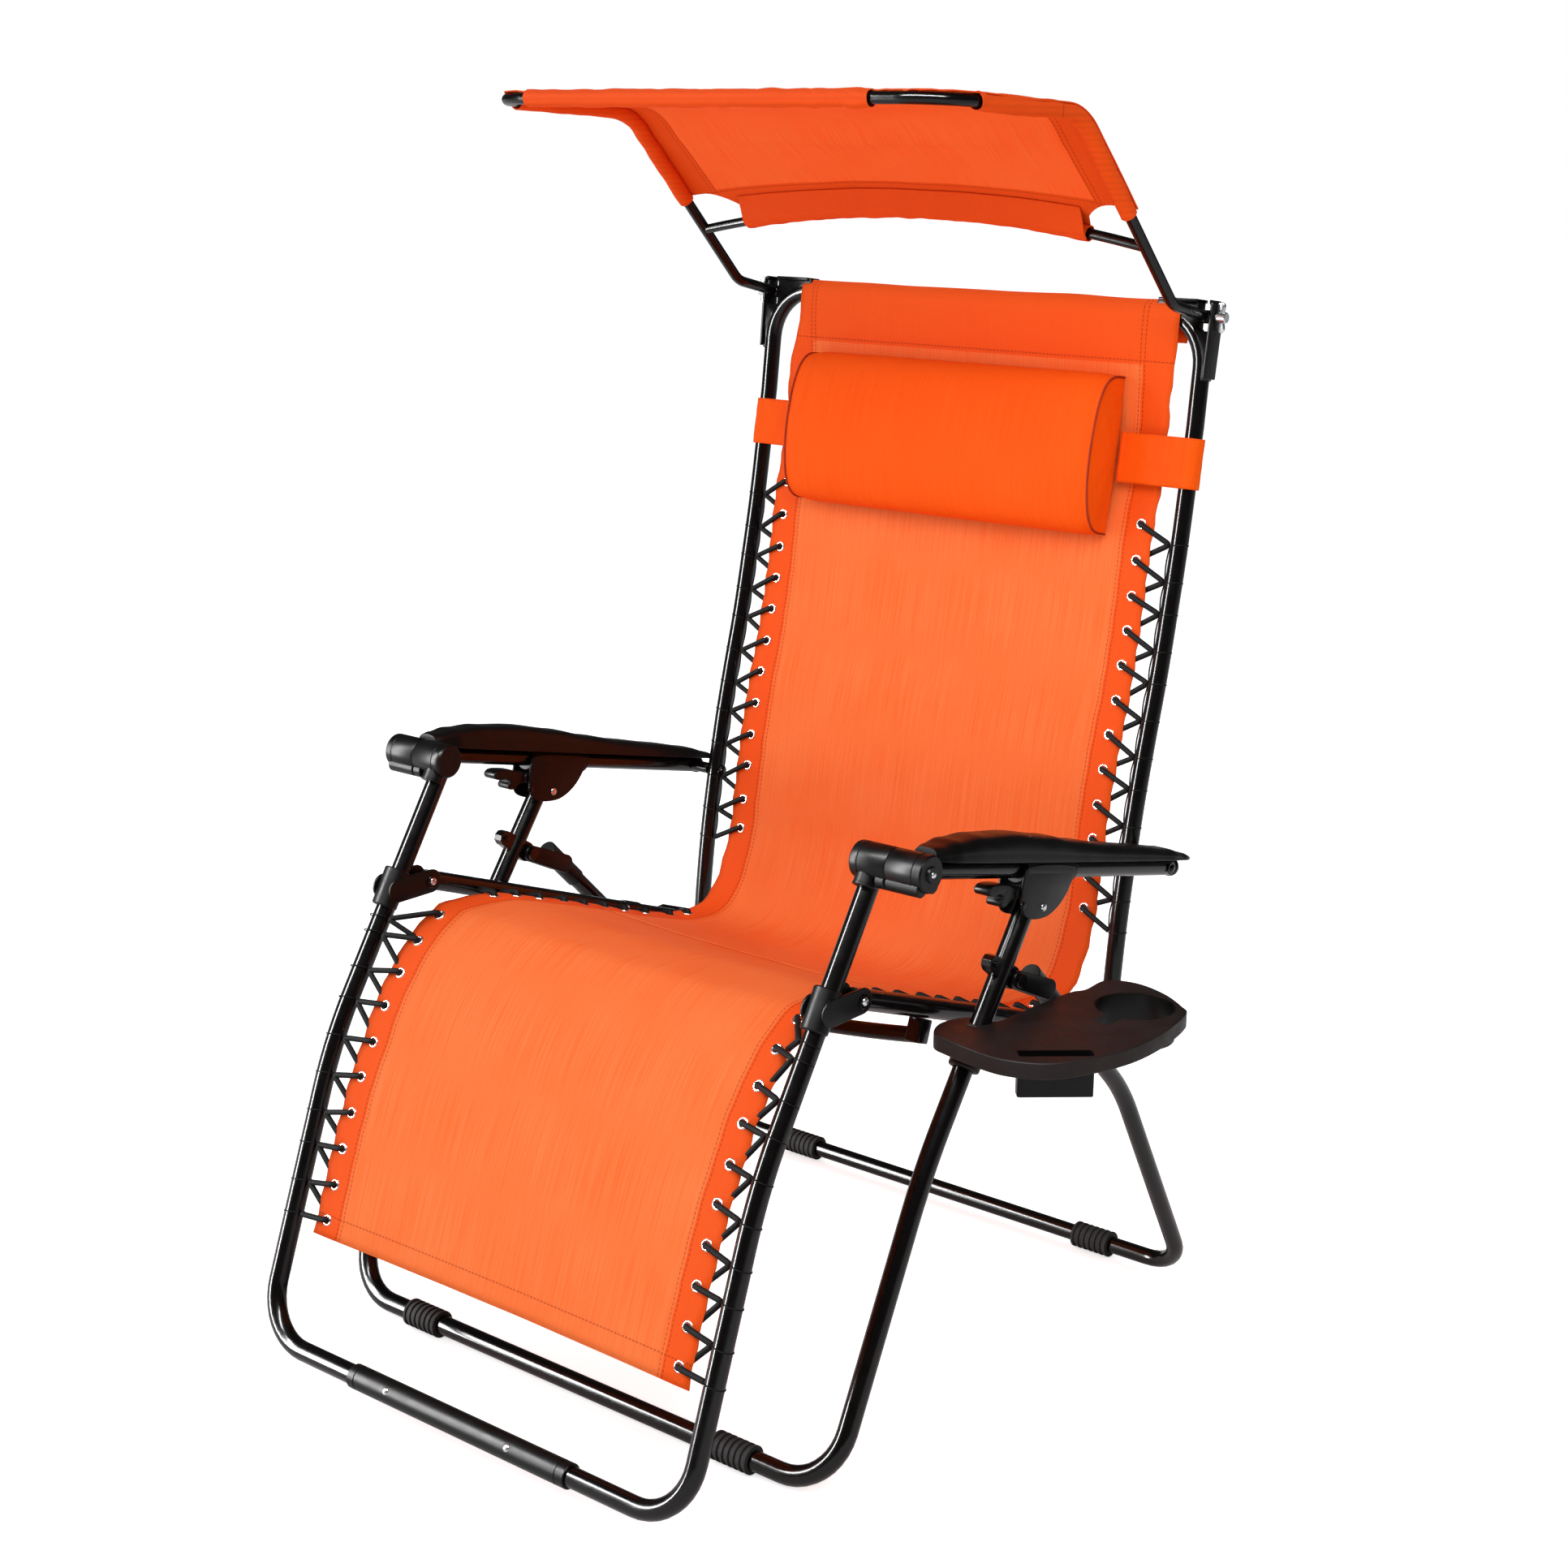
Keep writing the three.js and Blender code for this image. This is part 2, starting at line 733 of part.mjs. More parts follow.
function armHub() {
  const x1 = hubSplit - clearance;
  const barrel = turnedX([
    [hubInner, hubRound / 2 - plate],
    [hubInner + plate, hubRound / 2],
    [x1, hubRound / 2],
  ], hub, wideSides);
  const down = kneePoint(kneeSleeve.top);
  const socket = bar(
    at(frameHalfWidth, hub),
    at(frameHalfWidth, along(hub, down, socketLong)),
    socketRound / 2,
  );
  const room = bore(
    at(frameHalfWidth, along(hub, down, hubRound / 2)),
    at(frameHalfWidth, along(hub, down, socketLong + overrun)),
    postTube,
  );
  return cut(joined(barrel, socket, ...lobes(hubSplit - plate * 4, x1)), room);
}

// Arm knuckle: the arm's half of the front pivot, which the arm rail plugs into
function armKnuckle() {
  const x0 = hubSplit + clearance;
  const barrel = turnedX([
    [x0, hubRound / 2],
    [hubOuter - plate, hubRound / 2],
    [hubOuter, hubRound / 2 - plate],
    [hubOuter, boltHead / 2],
    [hubOuter + boltHeadThick, boltHead / 2 - 1],
  ], hub, wideSides);
  const socket = bar(
    at(baseHalfWidth, hub),
    at(baseHalfWidth, along(hub, armPivot, socketLong)),
    socketRound / 2,
  );
  const room = bore(
    at(baseHalfWidth, along(hub, armPivot, hubRound / 2)),
    at(baseHalfWidth, along(hub, armPivot, socketLong + overrun)),
    armTube,
  );
  return cut(joined(barrel, socket, ...lobes(x0, hubOuter - plate)), room);
}

// Arm rail, with a cap round its rear bolt
const railTail = 18;

function armRail() {
  const start = along(hub, armPivot, hubRound / 2 + clearance);
  const end = along(armPivot, hub, -railTail);
  const rail = bar(at(baseHalfWidth, start), at(baseHalfWidth, end), armTube / 2);
  return cut(rail, shankHole(baseHalfWidth - overrun, baseHalfWidth + overrun, armPivot));
}

// The lock slider's collar, and how far it runs forward on the arm rail as the back reclines
const collar = { round: 32, ahead: 34, behind: 62 };
const slideTravel = 110;

// Arm pad: a moulded rest that swells behind its nose and thins to the tail
const padHalfWidth = 24;
const padNose = 12;
const openPivotDrift = 9;
const padLength = 508;
const padSeat = armTube / 2 + clearance;
const padHigh = 28;
const padAlongShares = [0, 0.02, 0.07, 0.15, 0.27, 0.4, 0.52, 0.63, 0.77, 0.9, 0.97, 1];
const padHighShares = [0.42, 0.52, 0.74, 0.92, 1, 0.9, 0.72, 0.6, 0.52, 0.42, 0.24, 0.12];
const padWideShares = [0.62, 0.8, 0.96, 1, 1, 1, 0.98, 0.96, 0.94, 0.9, 0.78, 0.6];
const padSectionWide = { edgeShares: [-1, -1, -0.86, -0.5, 0, 0.5, 0.86, 1, 1] };
const padSectionHigh = { riseShares: [0, 0.45, 0.78, 0.96, 1, 0.96, 0.78, 0.45, 0] };

function armPad() {
  const run = armPivot.clone().sub(hub).normalize();
  const rise = leftOf(hub, armPivot);
  const nose = hub.clone().addScaledVector(run, padNose);
  const rings = padAlongShares.map((share, i) => {
    const base = nose.clone().addScaledVector(run, padLength * share);
    return padSectionWide.edgeShares.map((edge, k) => {
      const lift = padSeat + padHigh * padHighShares[i] * padSectionHigh.riseShares[k];
      const p = base.clone().addScaledVector(rise, lift);
      return at(baseHalfWidth + padHalfWidth * padWideShares[i] * edge, p);
    });
  });
  const knuckleRoom = turnedX([
    [hubInner, hubRound / 2 + clearance],
    [hubOuter + overrun, hubRound / 2 + clearance],
  ], hub, wideSides);
  const onRail = (s) => at(baseHalfWidth, hub.clone().addScaledVector(run, s));
  const socketRoom = bore(onRail(0), onRail(socketLong + clearance), socketRound);
  const slide = yz(slidePivot.y, slidePivot.z).sub(hub).dot(run);
  const channel = bore(
    onRail(slide - collar.ahead - slideTravel - runningGap),
    onRail(slide + collar.behind + runningGap),
    collar.round + runningGap,
  );
  const hubRoom = turnedX([
    [hubInner, (hubRound + lobeRound) / 2 + openPivotDrift],
    [hubSplit + clearance, (hubRound + lobeRound) / 2 + openPivotDrift],
  ], hub, wideSides);
  return cut(loft(rings), knuckleRoom, hubRoom, socketRoom, channel);
}

// Lock slider: a collar on the arm rail with two cheeks beside the front leg's top
const cheekGap = 12.4;
const cheek = { ahead: 44, behind: 57, below: 49 };
const cheekAheadShares = [1, 1.06, 0.03];
const cheekAheadFallShares = [0, 0.89, 1];
const cheekBehindShares = [0.55, 0.88, 1];
const cheekBehindFallShares = [0.8, 0.45, 0];
const rivetAhead = -32;
const rivetBehind = 14;
const rivetBelow = 40;

function sliderFrame() {
  const run = armPivot.clone().sub(hub).normalize();
  const rise = leftOf(hub, armPivot);
  const pivot = yz(slidePivot.y, slidePivot.z);
  const onRail = hub.clone().addScaledVector(run, pivot.clone().sub(hub).dot(run));
  const place = (s, u) => onRail.clone().addScaledVector(run, s).addScaledVector(rise, u);
  return { place };
}

function cheekOutline(place) {
  const fore = cheekAheadShares.map((share, i) => (
    place(-cheek.ahead * share, -cheek.below * cheekAheadFallShares[i])
  ));
  const aft = cheekBehindShares.map((share, i) => (
    place(cheek.behind * share, -cheek.below * cheekBehindFallShares[i])
  ));
  return [...fore, ...aft];
}

function lockSlider() {
  const { place } = sliderFrame();
  const half = cheekGap + plate;
  const tubeOf = (round, from, to) => bar(
    at(baseHalfWidth, place(from, 0)),
    at(baseHalfWidth, place(to, 0)),
    round / 2,
    wideSides,
  );
  const sleeve = tubeOf(collar.round, -collar.ahead, collar.behind);
  const cheeks = slab(cheekOutline(place), baseHalfWidth - half, baseHalfWidth + half);
  const slotTop = -collar.round / 2;
  const far = 2 * overrun + collar.behind;
  const slot = slab(
    [place(-far, slotTop), place(-far, -far), place(far, -far), place(far, slotTop)],
    baseHalfWidth - cheekGap,
    baseHalfWidth + cheekGap,
  );
  const room = bore(
    at(baseHalfWidth, place(-far, 0)),
    at(baseHalfWidth, place(far, 0)),
    armTube + clearance,
    wideSides,
  );
  const stub = (s, u) => joined(
    turnedX([[baseHalfWidth + half - 1, boltHead / 3], [baseHalfWidth + half + plate, boltHead / 3]], place(s, u)),
  );
  const body = cut(joined(sleeve, cheeks), slot, room);
  return joined(body, stub(rivetAhead, -rivetBelow), stub(rivetBehind, -rivetBelow));
}

// Lock lever: a stubby paddle hinged at the slider's front
const lever = { ahead: 37, below: 23, long: 43, round: 25, wide: 20, stem: 12 };

function leverPivot() {
  const { place } = sliderFrame();
  return place(-lever.ahead, -lever.below);
}

function lockLever() {
  const { place } = sliderFrame();
  const pivot = leverPivot();
  const tip = place(-lever.ahead - lever.long, -lever.below - lever.stem / 4);
  const half = lever.wide / 2;
  const arm = slab(
    link(pivot, tip, lever.stem / 2, lever.round / 2),
    baseHalfWidth - half,
    baseHalfWidth + half,
  );
  const flange = turnedX([
    [baseHalfWidth - cheekGap + clearance, lever.stem / 2],
    [baseHalfWidth + cheekGap - clearance, lever.stem / 2],
  ], pivot);
  return joined(arm, flange);
}

// Sleeve on the leg frame's floor bar
const barSleeve = { half: 160, round: 27 };

function legBarSleeve() {
  const place = yz(footBar.y, footBar.z);
  const outer = bar(at(-barSleeve.half, place), at(barSleeve.half, place), barSleeve.round / 2);
  const far = barSleeve.half + overrun;
  return cut(outer, bore(at(-far, place), at(far, place), legTube));
}

// Tray: a flat egg-shaped plate with a skirt, clamped to the left front leg
const trayTop = 447;
const traySkirt = 18;
const trayWall = 3;
const trayCentre = { outset: 65, y: 222 };
const trayCentreX = baseHalfWidth + trayCentre.outset;
const trayHalf = { x: 94, y: 142 };
const trayOutlineShares = {
  x: [-0.88, -1, -0.88, -0.57, -0.54, -0.5, -0.42, -0.42, -0.1, 0.33, 0.71, 0.86, 0.98, 1, 0.86, 0.6, 0.2, -0.2, -0.64],
  y: [-0.88, -0.68, -0.46, -0.4, 0, 0.48, 0.62, 0.9, 1, 0.93, 0.77, 0.66, 0.28, -0.15, -0.54, -0.86, -1, -1, -0.94],
};
const cup = { outset: 94, y: 298, round: 82, notchWide: 22, notchLong: 26 };
const cupX = baseHalfWidth + cup.outset;
const slotPhone = { outset: 109, y: 128, long: 74, wide: 16, deep: 34, wall: 3 };
const slotPhoneX = baseHalfWidth + slotPhone.outset;
const slotPhoneDegrees = 42;
const clampDeep = 26;
const clampRound = 34;

function trayOutline(inset) {
  const points = trayOutlineShares.x.map((sx, i) => new THREE.Vector2(
    trayCentreX + (trayHalf.x - inset) * sx,
    trayCentre.y + (trayHalf.y - inset) * trayOutlineShares.y[i],
  ));
  return points.reverse();
}

function lift(shape, z0, z1) {
  const geometry = new THREE.ExtrudeGeometry(shape, { depth: z1 - z0, bevelEnabled: false });
  return geometry.translate(0, 0, z0);
}

function turnedBox(x, y, long, wide, turn, z0, z1) {
  const c = Math.cos(turn * DEG);
  const s = Math.sin(turn * DEG);
  const corners = [[-1, -1], [1, -1], [1, 1], [-1, 1]].map(([a, b]) => {
    const u = (a * long) / 2;
    const v = (b * wide) / 2;
    return new THREE.Vector2(x + u * c - v * s, y + u * s + v * c);
  });
  return lift(new THREE.Shape(corners), z0, z1);
}

function legAtHeight(z) {
  const upper = yz(slidePivot.y, slidePivot.z);
  const lower = yz(frontBend.y, frontBend.z);
  return lower.clone().lerp(upper, (z - lower.y) / (upper.y - lower.y));
}

function tray() {
  const low = trayTop - traySkirt;
  const shell = cut(
    lift(new THREE.Shape(trayOutline(0)), low, trayTop),
    lift(new THREE.Shape(trayOutline(trayWall)), low - overrun, trayTop - trayWall),
  );
  const leg = at(baseHalfWidth, legAtHeight(trayTop));
  const legDown = at(baseHalfWidth, legAtHeight(low - clampDeep));
  const legUp = at(baseHalfWidth, legAtHeight(trayTop + overrun));
  const legFar = at(baseHalfWidth, legAtHeight(low - clampDeep - overrun));
  const clampBody = bar(leg, legDown, clampRound / 2, wideSides);
  const flat = lift(new THREE.Shape(trayOutline(0)), low - clampDeep - overrun, trayTop);
  const clampTrim = fromSolid(toSolid(clampBody).intersect(toSolid(flat)));
  const boxLow = low - slotPhone.deep;
  const pocket = turnedBox(
    slotPhoneX,
    slotPhone.y,
    slotPhone.long + 2 * slotPhone.wall,
    slotPhone.wide + 2 * slotPhone.wall,
    slotPhoneDegrees,
    boxLow,
    trayTop - trayWall / 2,
  );
  const slot = turnedBox(
    slotPhoneX,
    slotPhone.y,
    slotPhone.long,
    slotPhone.wide,
    slotPhoneDegrees,
    boxLow + slotPhone.wall,
    trayTop + overrun,
  );
  const cupHole = lift(
    circle(cup.round / 2, tubeSides * 2).clone(),
    low - overrun,
    trayTop + overrun,
  ).translate(cupX, cup.y, 0);
  const notch = turnedBox(
    cupX,
    cup.y - cup.round / 2 - cup.notchLong / 2,
    cup.notchWide,
    cup.notchLong * 2,
    0,
    low - overrun,
    trayTop + overrun,
  );
  const legHole = bore(legFar, legUp, legTube);
  return cut(joined(shell, clampTrim, pocket), slot, cupHole, notch, legHole);
}

// Canopy frame: one hoop with its lower arms hooked to bolts in the back frame's corners
const canopyFrontY = 118;
const canopyFrontZ = 1353;
const canopyBend = { y: 345, z: 1343, radius: 70 };
const canopyLow = { y: 540, z: 1146, radius: 34 };
const canopyCornerRadius = 58;
const canopyBarZ = 1208;
const canopyPivotY = 612;
const canopyPivotZ = 1130;
const canopyEye = 15;
const canopyEyeHalf = 7;

function canopyPivot() {
  return yz(canopyPivotY, canopyPivotZ);
}

// The slot in each gusset is open in front, above and behind, so that the hoop can swing
function canopyEyeRoom() {
  const pivot = canopyPivot();
  const floor = pivot.y - canopyEye / 2 - runningGap;
  return slab(
    [
      yz(pivot.x - overrun, floor),
      yz(pivot.x + overrun, floor),
      yz(pivot.x + overrun, floor + 2 * overrun),
      yz(pivot.x - overrun, floor + 2 * overrun),
    ],
    frameHalfWidth - canopyEyeHalf,
    frameHalfWidth + canopyEyeHalf,
  );
}

function canopySide() {
  const front = yz(canopyFrontY, canopyFrontZ);
  const bend = yz(canopyBend.y, canopyBend.z);
  const low = yz(canopyLow.y, canopyLow.z);
  return { front, bend, low, pivot: canopyPivot() };
}

function canopyFrame() {
  const { front, bend, low, pivot } = canopySide();
  const stations = hoop([
    { p: at(frameHalfWidth, along(pivot, low, canopyEye)) },
    { p: at(frameHalfWidth, low), radius: canopyLow.radius, steps: softBendSteps },
    { p: at(frameHalfWidth, bend), radius: canopyBend.radius, steps: softBendSteps },
    { p: at(frameHalfWidth, front), radius: canopyCornerRadius },
  ]);
  const share = (bend.y - canopyBarZ) / (bend.y - low.y);
  const cross = bend.clone().lerp(low, share);
  const inner = frameHalfWidth;
  const crossbar = bar(at(-inner, cross), at(inner, cross), canopyTube / 2 - plate / 4, thinSides);
  const eye = turnedX([
    [frameHalfWidth - canopyEyeHalf + clearance, canopyEye / 2],
    [frameHalfWidth + canopyEyeHalf - clearance, canopyEye / 2],
  ], pivot);
  const arm = bar(
    at(frameHalfWidth, pivot),
    at(frameHalfWidth, along(pivot, low, canopyEye + 1)),
    canopyTube / 2 - plate / 4,
    thinSides,
  );
  const hole = shankHole(frameHalfWidth - overrun, frameHalfWidth + overrun, pivot);
  const arms = cut(joined(eye, arm), hole);
  return joined(tube(stations, canopyTube / 2, thinSides), crossbar, arms, mirrored(arms));
}

// Wing nut and bolt through each corner gusset
const wing = { long: 34, high: 15, thick: 4, hub: 12 };

function canopyKnob() {
  const p = canopyPivot();
  const half = backTube / 2 + clearance + gusset.wall;
  const x0 = frameHalfWidth - canopyEyeHalf - plate;
  const x1 = frameHalfWidth + half + clearance;
  const bolt = turnedX([
    [x0, boltShank / 2],
    [x1, boltShank / 2],
    [x1, wing.hub / 2],
    [x1 + wing.hub, wing.hub / 2 - 1],
  ], p);
  const blade = slab(
    [
      yz(p.x - wing.thick / 2, p.y - wing.long / 2),
      yz(p.x + wing.thick / 2, p.y - wing.long / 2),
      yz(p.x + wing.thick / 2, p.y + wing.long / 2),
      yz(p.x - wing.thick / 2, p.y + wing.long / 2),
    ],
    x1 + 1,
    x1 + wing.high,
  );
  return joined(bolt, blade);
}

// Canopy cover: cloth over the hoop, scalloped away at its four corners
const coverThick = 2;
const coverSkirt = 5;
const scallopRadius = 66;

function offsetStrip(line, inner, outer) {
  const normals = line.map((p, i) => {
    const a = line[Math.max(i - 1, 0)];
    const b = line[Math.min(i + 1, line.length - 1)];
    return leftOf(a, b);
  });
  const low = line.map((p, i) => p.clone().addScaledVector(normals[i], inner));
  const high = line.map((p, i) => p.clone().addScaledVector(normals[i], outer));
  return [...low, ...high.reverse()];
}

function canopyCover() {
  const { front, bend, low } = canopySide();
  const rear = bend.clone().lerp(low, (bend.y - canopyBarZ) / (bend.y - low.y));
  const r = canopyTube / 2;
  const line = bentRoute([
    { p: at(0, along(front, bend, -r)) },
    { p: at(0, bend), radius: canopyBend.radius, steps: softBendSteps },
    { p: at(0, along(rear, low, r)) },
  ]).map((p) => yz(p.y, p.z));
  const outline = offsetStrip(line, r + clearance, r + clearance + coverThick);
  const half = frameHalfWidth + r + clearance;
  const sheet = slab(outline, -half, half);
  const scallop = (x, p) => {
    const c = at(x, p);
    const a = c.clone().add(new THREE.Vector3(0, 0, -2 * overrun));
    const b = c.clone().add(new THREE.Vector3(0, 0, 2 * overrun));
    return bar(a, b, scallopRadius, tubeSides * 2);
  };
  const fronts = [-1, 1].map((s) => scallop(s * half, along(front, bend, -r)));
  const rears = [-1, 1].map((s) => scallop(s * half, along(rear, low, r)));
  return cut(sheet, ...fronts, ...rears);
}

// Pillow: a half-round bolster with a slight crown, drawn in at its ends
const pillow = { inset: 71, high: 178, deep: 62, riseShare: 0.805, gap: 4, roundShare: 0.75 };
const pillowHalf = frameHalfWidth - pillow.inset;
const pillowAlongShares = [-1, -0.985, -0.94, -0.7, -0.35, 0, 0.35, 0.7, 0.94, 0.985, 1];
const pillowSwellShares = [0.9, 0.96, 0.985, 0.96, 0.99, 1, 0.99, 0.96, 0.985, 0.96, 0.9];
const pillowSteps = 12;

function slingHeading() {
  const a = backPoint(backLeanShares.at(-3), backRiseShares.at(-3));
  const b = backPoint(backLeanShares.at(-2), backRiseShares.at(-2));
  return { a, b };
}

function pillowPlace() {
  const { a, b } = slingHeading();
  const z = hip.y + backRise * pillow.riseShare;
  const centre = a.clone().lerp(b, (z - a.y) / (b.y - a.y));
  const up = b.clone().sub(a).normalize();
  const front = leftOf(a, b);
  return { centre, up, front };
}

function pillowBody() {
  const { centre, up, front } = pillowPlace();
  const rings = pillowAlongShares.map((share, i) => {
    const swell = pillowSwellShares[i];
    const ring = [];
    for (let k = 0; k <= pillowSteps; k += 1) {
      const a = -Math.PI / 2 + (Math.PI * k) / pillowSteps;
      const u = (pillow.high / 2) * swell * Math.sin(a);
      const v = pillow.gap + pillow.deep * swell * Math.pow(Math.abs(Math.cos(a)), pillow.roundShare);
      const p = centre.clone().addScaledVector(up, u).addScaledVector(front, v);
      ring.push(at(pillowHalf * share, p));
    }
    return ring;
  });
  return loft(rings.reverse());
}

// Elastic bands from the pillow's ends round the back tubes
const strap = { high: 56, thick: 1.6, gap: 1.4 };

function pillowStrap() {
  const { centre, up, front } = pillowPlace();
  const inner = backTube / 2 + strap.gap;
  const x0 = slingHalfWidth + strap.gap;
  const loop = (grow) => {
    const r = inner + grow;
    const points = [];
    for (let k = 0; k <= bendSteps * 2; k += 1) {
      const a = (k / (bendSteps * 2) - 1 / 2) * Math.PI;
      points.push(new THREE.Vector2(frameHalfWidth + r * Math.cos(a), r * Math.sin(a)));
    }
    points.push(new THREE.Vector2(x0 + strap.thick - grow, r));
    points.push(new THREE.Vector2(x0 + strap.thick - grow, -r));
    return points;
  };
  const tail = [
    new THREE.Vector2(pillowHalf + clearance, inner),
    new THREE.Vector2(frameHalfWidth, inner),
    new THREE.Vector2(frameHalfWidth, inner + strap.thick),
    new THREE.Vector2(pillowHalf + clearance, inner + strap.thick),
  ];
  const raised = (points, extra) => {
    const depth = strap.high + 2 * extra;
    const shape = new THREE.Shape(points);
    const geometry = new THREE.ExtrudeGeometry(shape, { depth, bevelEnabled: false });
    const across = new THREE.Vector3(1, 0, 0);
    const ahead = new THREE.Vector3(0, front.x, front.y);
    const rise = new THREE.Vector3(0, up.x, up.y);
    geometry.translate(0, 0, -depth / 2);
    const basis = new THREE.Matrix4().makeBasis(across, ahead, rise.negate());
    return geometry.applyMatrix4(basis).translate(0, centre.x, centre.y);
  };
  return joined(cut(raised(loop(strap.thick), 0), raised(loop(0), overrun)), raised(tail, 0));
}

// Sling: one cloth in three runs, each with its eyelet holes
const clothThick = 2;
const eyeletRound = 7.8;
const hemInset = 63;
const hemReach = frameHalfWidth - hemInset;
const hemSteps = 8;
const hemFromDegrees = -16;
const hemTurnDegrees = 250;

// Leg eyelets as shares of the way from the knee pivot down to the floor bar
const legEyeletShares = {
  y: [0.7964, 0.746, 0.6935, 0.6351, 0.5726, 0.498, 0.4234, 0.3306, 0.2218, 0.0887],
  z: [0.7163, 0.636, 0.5546, 0.4743, 0.394, 0.3191, 0.2398, 0.1713, 0.1071, 0.06],
};
const legEyelets = legEyeletShares.y.map((share, i) => yz(
  footBar.y * share,
  kneeHeight - (kneeHeight - footBar.z) * legEyeletShares.z[i],
));
const backEyeletCount = 12;
const backEyeletTopShare = 0.706;
const backEyeletBottomShare = 0.165;
const seatEyeletCount = 9;
const seatEyeletFirstShare = 0.13;
const seatEyeletLastShare = 0.755;
const slingEndShares = { seatFront: 0.085, seatRear: 0.86, backLow: 0.125 };
const slingLegEnd = { low: 18, high: 9 };
const cornerCut = 18;

function backLineAt(rise) {
  const k = backRiseShares.findIndex((r) => r >= rise);
  const i = Math.max(k, 1);
  const t = (rise - backRiseShares[i - 1]) / (backRiseShares[i] - backRiseShares[i - 1]);
  const lean = backLeanShares[i - 1] + (backLeanShares[i] - backLeanShares[i - 1]) * t;
  return backPoint(lean, rise);
}

function backEyelets() {
  const list = [];
  for (let k = 0; k < backEyeletCount; k += 1) {
    const t = k / (backEyeletCount - 1);
    list.push(backLineAt(backEyeletBottomShare + (backEyeletTopShare - backEyeletBottomShare) * t));
  }
  return list;
}

function seatEyelets() {
  const list = [];
  for (let k = 0; k < seatEyeletCount; k += 1) {
    const t = k / (seatEyeletCount - 1);
    list.push(knee.clone().lerp(hip, seatEyeletFirstShare + (seatEyeletLastShare - seatEyeletFirstShare) * t));
  }
  return list;
}

function sheet(line, half) {
  return slab(offsetStrip(line, -clothThick / 2, clothThick / 2), -half, half);
}

function eyeletHoles(eyelets) {
  return eyelets.flatMap((p, i) => {
    const a = eyelets[Math.max(i - 1, 0)];
    const b = eyelets[Math.min(i + 1, eyelets.length - 1)];
    const n = leftOf(a, b).multiplyScalar(4 * clothThick);
    const hole = bar(
      at(eyeletHalfWidth, p.clone().sub(n)),
      at(eyeletHalfWidth, p.clone().add(n)),
      eyeletRound / 2,
      holeSides,
    );
    return [hole, mirrored(hole)];
  });
}

function slingBack() {
  const stops = [slingEndShares.backLow, ...backRiseShares.filter((r) => r > slingEndShares.backLow)];
  const line = stops.slice(0, -1).map(backLineAt);
  const top = backTop();
  const under = backLineAt(backRiseShares.at(-2));
  const up = top.clone().sub(under).normalize();
  const front = leftOf(under, top);
  const half = (hemTurnDegrees * DEG) / (2 * hemSteps);
  const r = (backTube / 2 + clearance) / Math.cos(half) + clothThick / 2;
  const below = top.clone().addScaledVector(up, -2 * backTube);
  const hook = [below];
  for (let k = 0; k <= hemSteps; k += 1) {
    const a = (hemFromDegrees + (hemTurnDegrees * k) / hemSteps) * DEG;
    const p = top.clone().addScaledVector(front, r * Math.cos(a)).addScaledVector(up, r * Math.sin(a));
    hook.push(p);
  }
  const main = sheet([...line, below], slingHalfWidth);
  const hem = sheet(hook, hemReach);
  const clip = gusset.long + 2 * gusset.wall;
  const corner = slab(
    [
      top.clone().addScaledVector(up, -clip).addScaledVector(front, overrun),
      top.clone().addScaledVector(up, -clip).addScaledVector(front, -overrun),
      top.clone().addScaledVector(up, overrun).addScaledVector(front, -overrun),
      top.clone().addScaledVector(up, overrun).addScaledVector(front, overrun),
    ],
    frameHalfWidth - gusset.inward - gusset.wall,
    frameHalfWidth + overrun,
  );
  return cut(joined(main, hem), corner, mirrored(corner), ...eyeletHoles(backEyelets()));
}

function slingSeat() {
  const line = [slingEndShares.seatFront, slingEndShares.seatRear].map((s) => knee.clone().lerp(hip, s));
  return cut(sheet(line, slingHalfWidth), ...eyeletHoles(seatEyelets()));
}

function slingLeg() {
  const first = along(legEyelets[0], legEyelets[1], -slingLegEnd.low);
  const last = along(legEyelets.at(-1), legEyelets.at(-2), -slingLegEnd.high);
  const top = legEyelets.at(-1);
  const below = along(top, legEyelets.at(-2), cornerCut);
  const beyond = along(top, legEyelets.at(-2), -overrun);
  const aside = leftOf(below, beyond).multiplyScalar(overrun);
  const corner = slab(
    [
      below.clone().sub(aside),
      beyond.clone().sub(aside),
      beyond.clone().add(aside),
      below.clone().add(aside),
    ],
    eyeletHalfWidth + eyeletRound,
    slingHalfWidth + overrun,
  );
  const cloth = sheet([first, ...legEyelets, last], slingHalfWidth);
  return cut(cloth, corner, mirrored(corner), ...eyeletHoles(legEyelets));
}

// Lacing: elastic cord out through each eyelet, over the tube and back under to the next one
const cordRound = 5.4;
const cordSides = 5;
const wrapSteps = 3;
const eyeRise = 4.4;

function footOnLine(p, line) {
  let best = null;
  for (let i = 0; i + 1 < line.length; i += 1) {
    const d = line[i + 1].clone().sub(line[i]);
    const t = THREE.MathUtils.clamp(p.clone().sub(line[i]).dot(d) / d.lengthSq(), 0, 1);
    const q = line[i].clone().addScaledVector(d, t);
    const gap = q.distanceTo(p);
    if (!best || gap < best.gap) best = { q, gap, side: leftOf(line[i], line[i + 1]) };
  }
  return best;
}

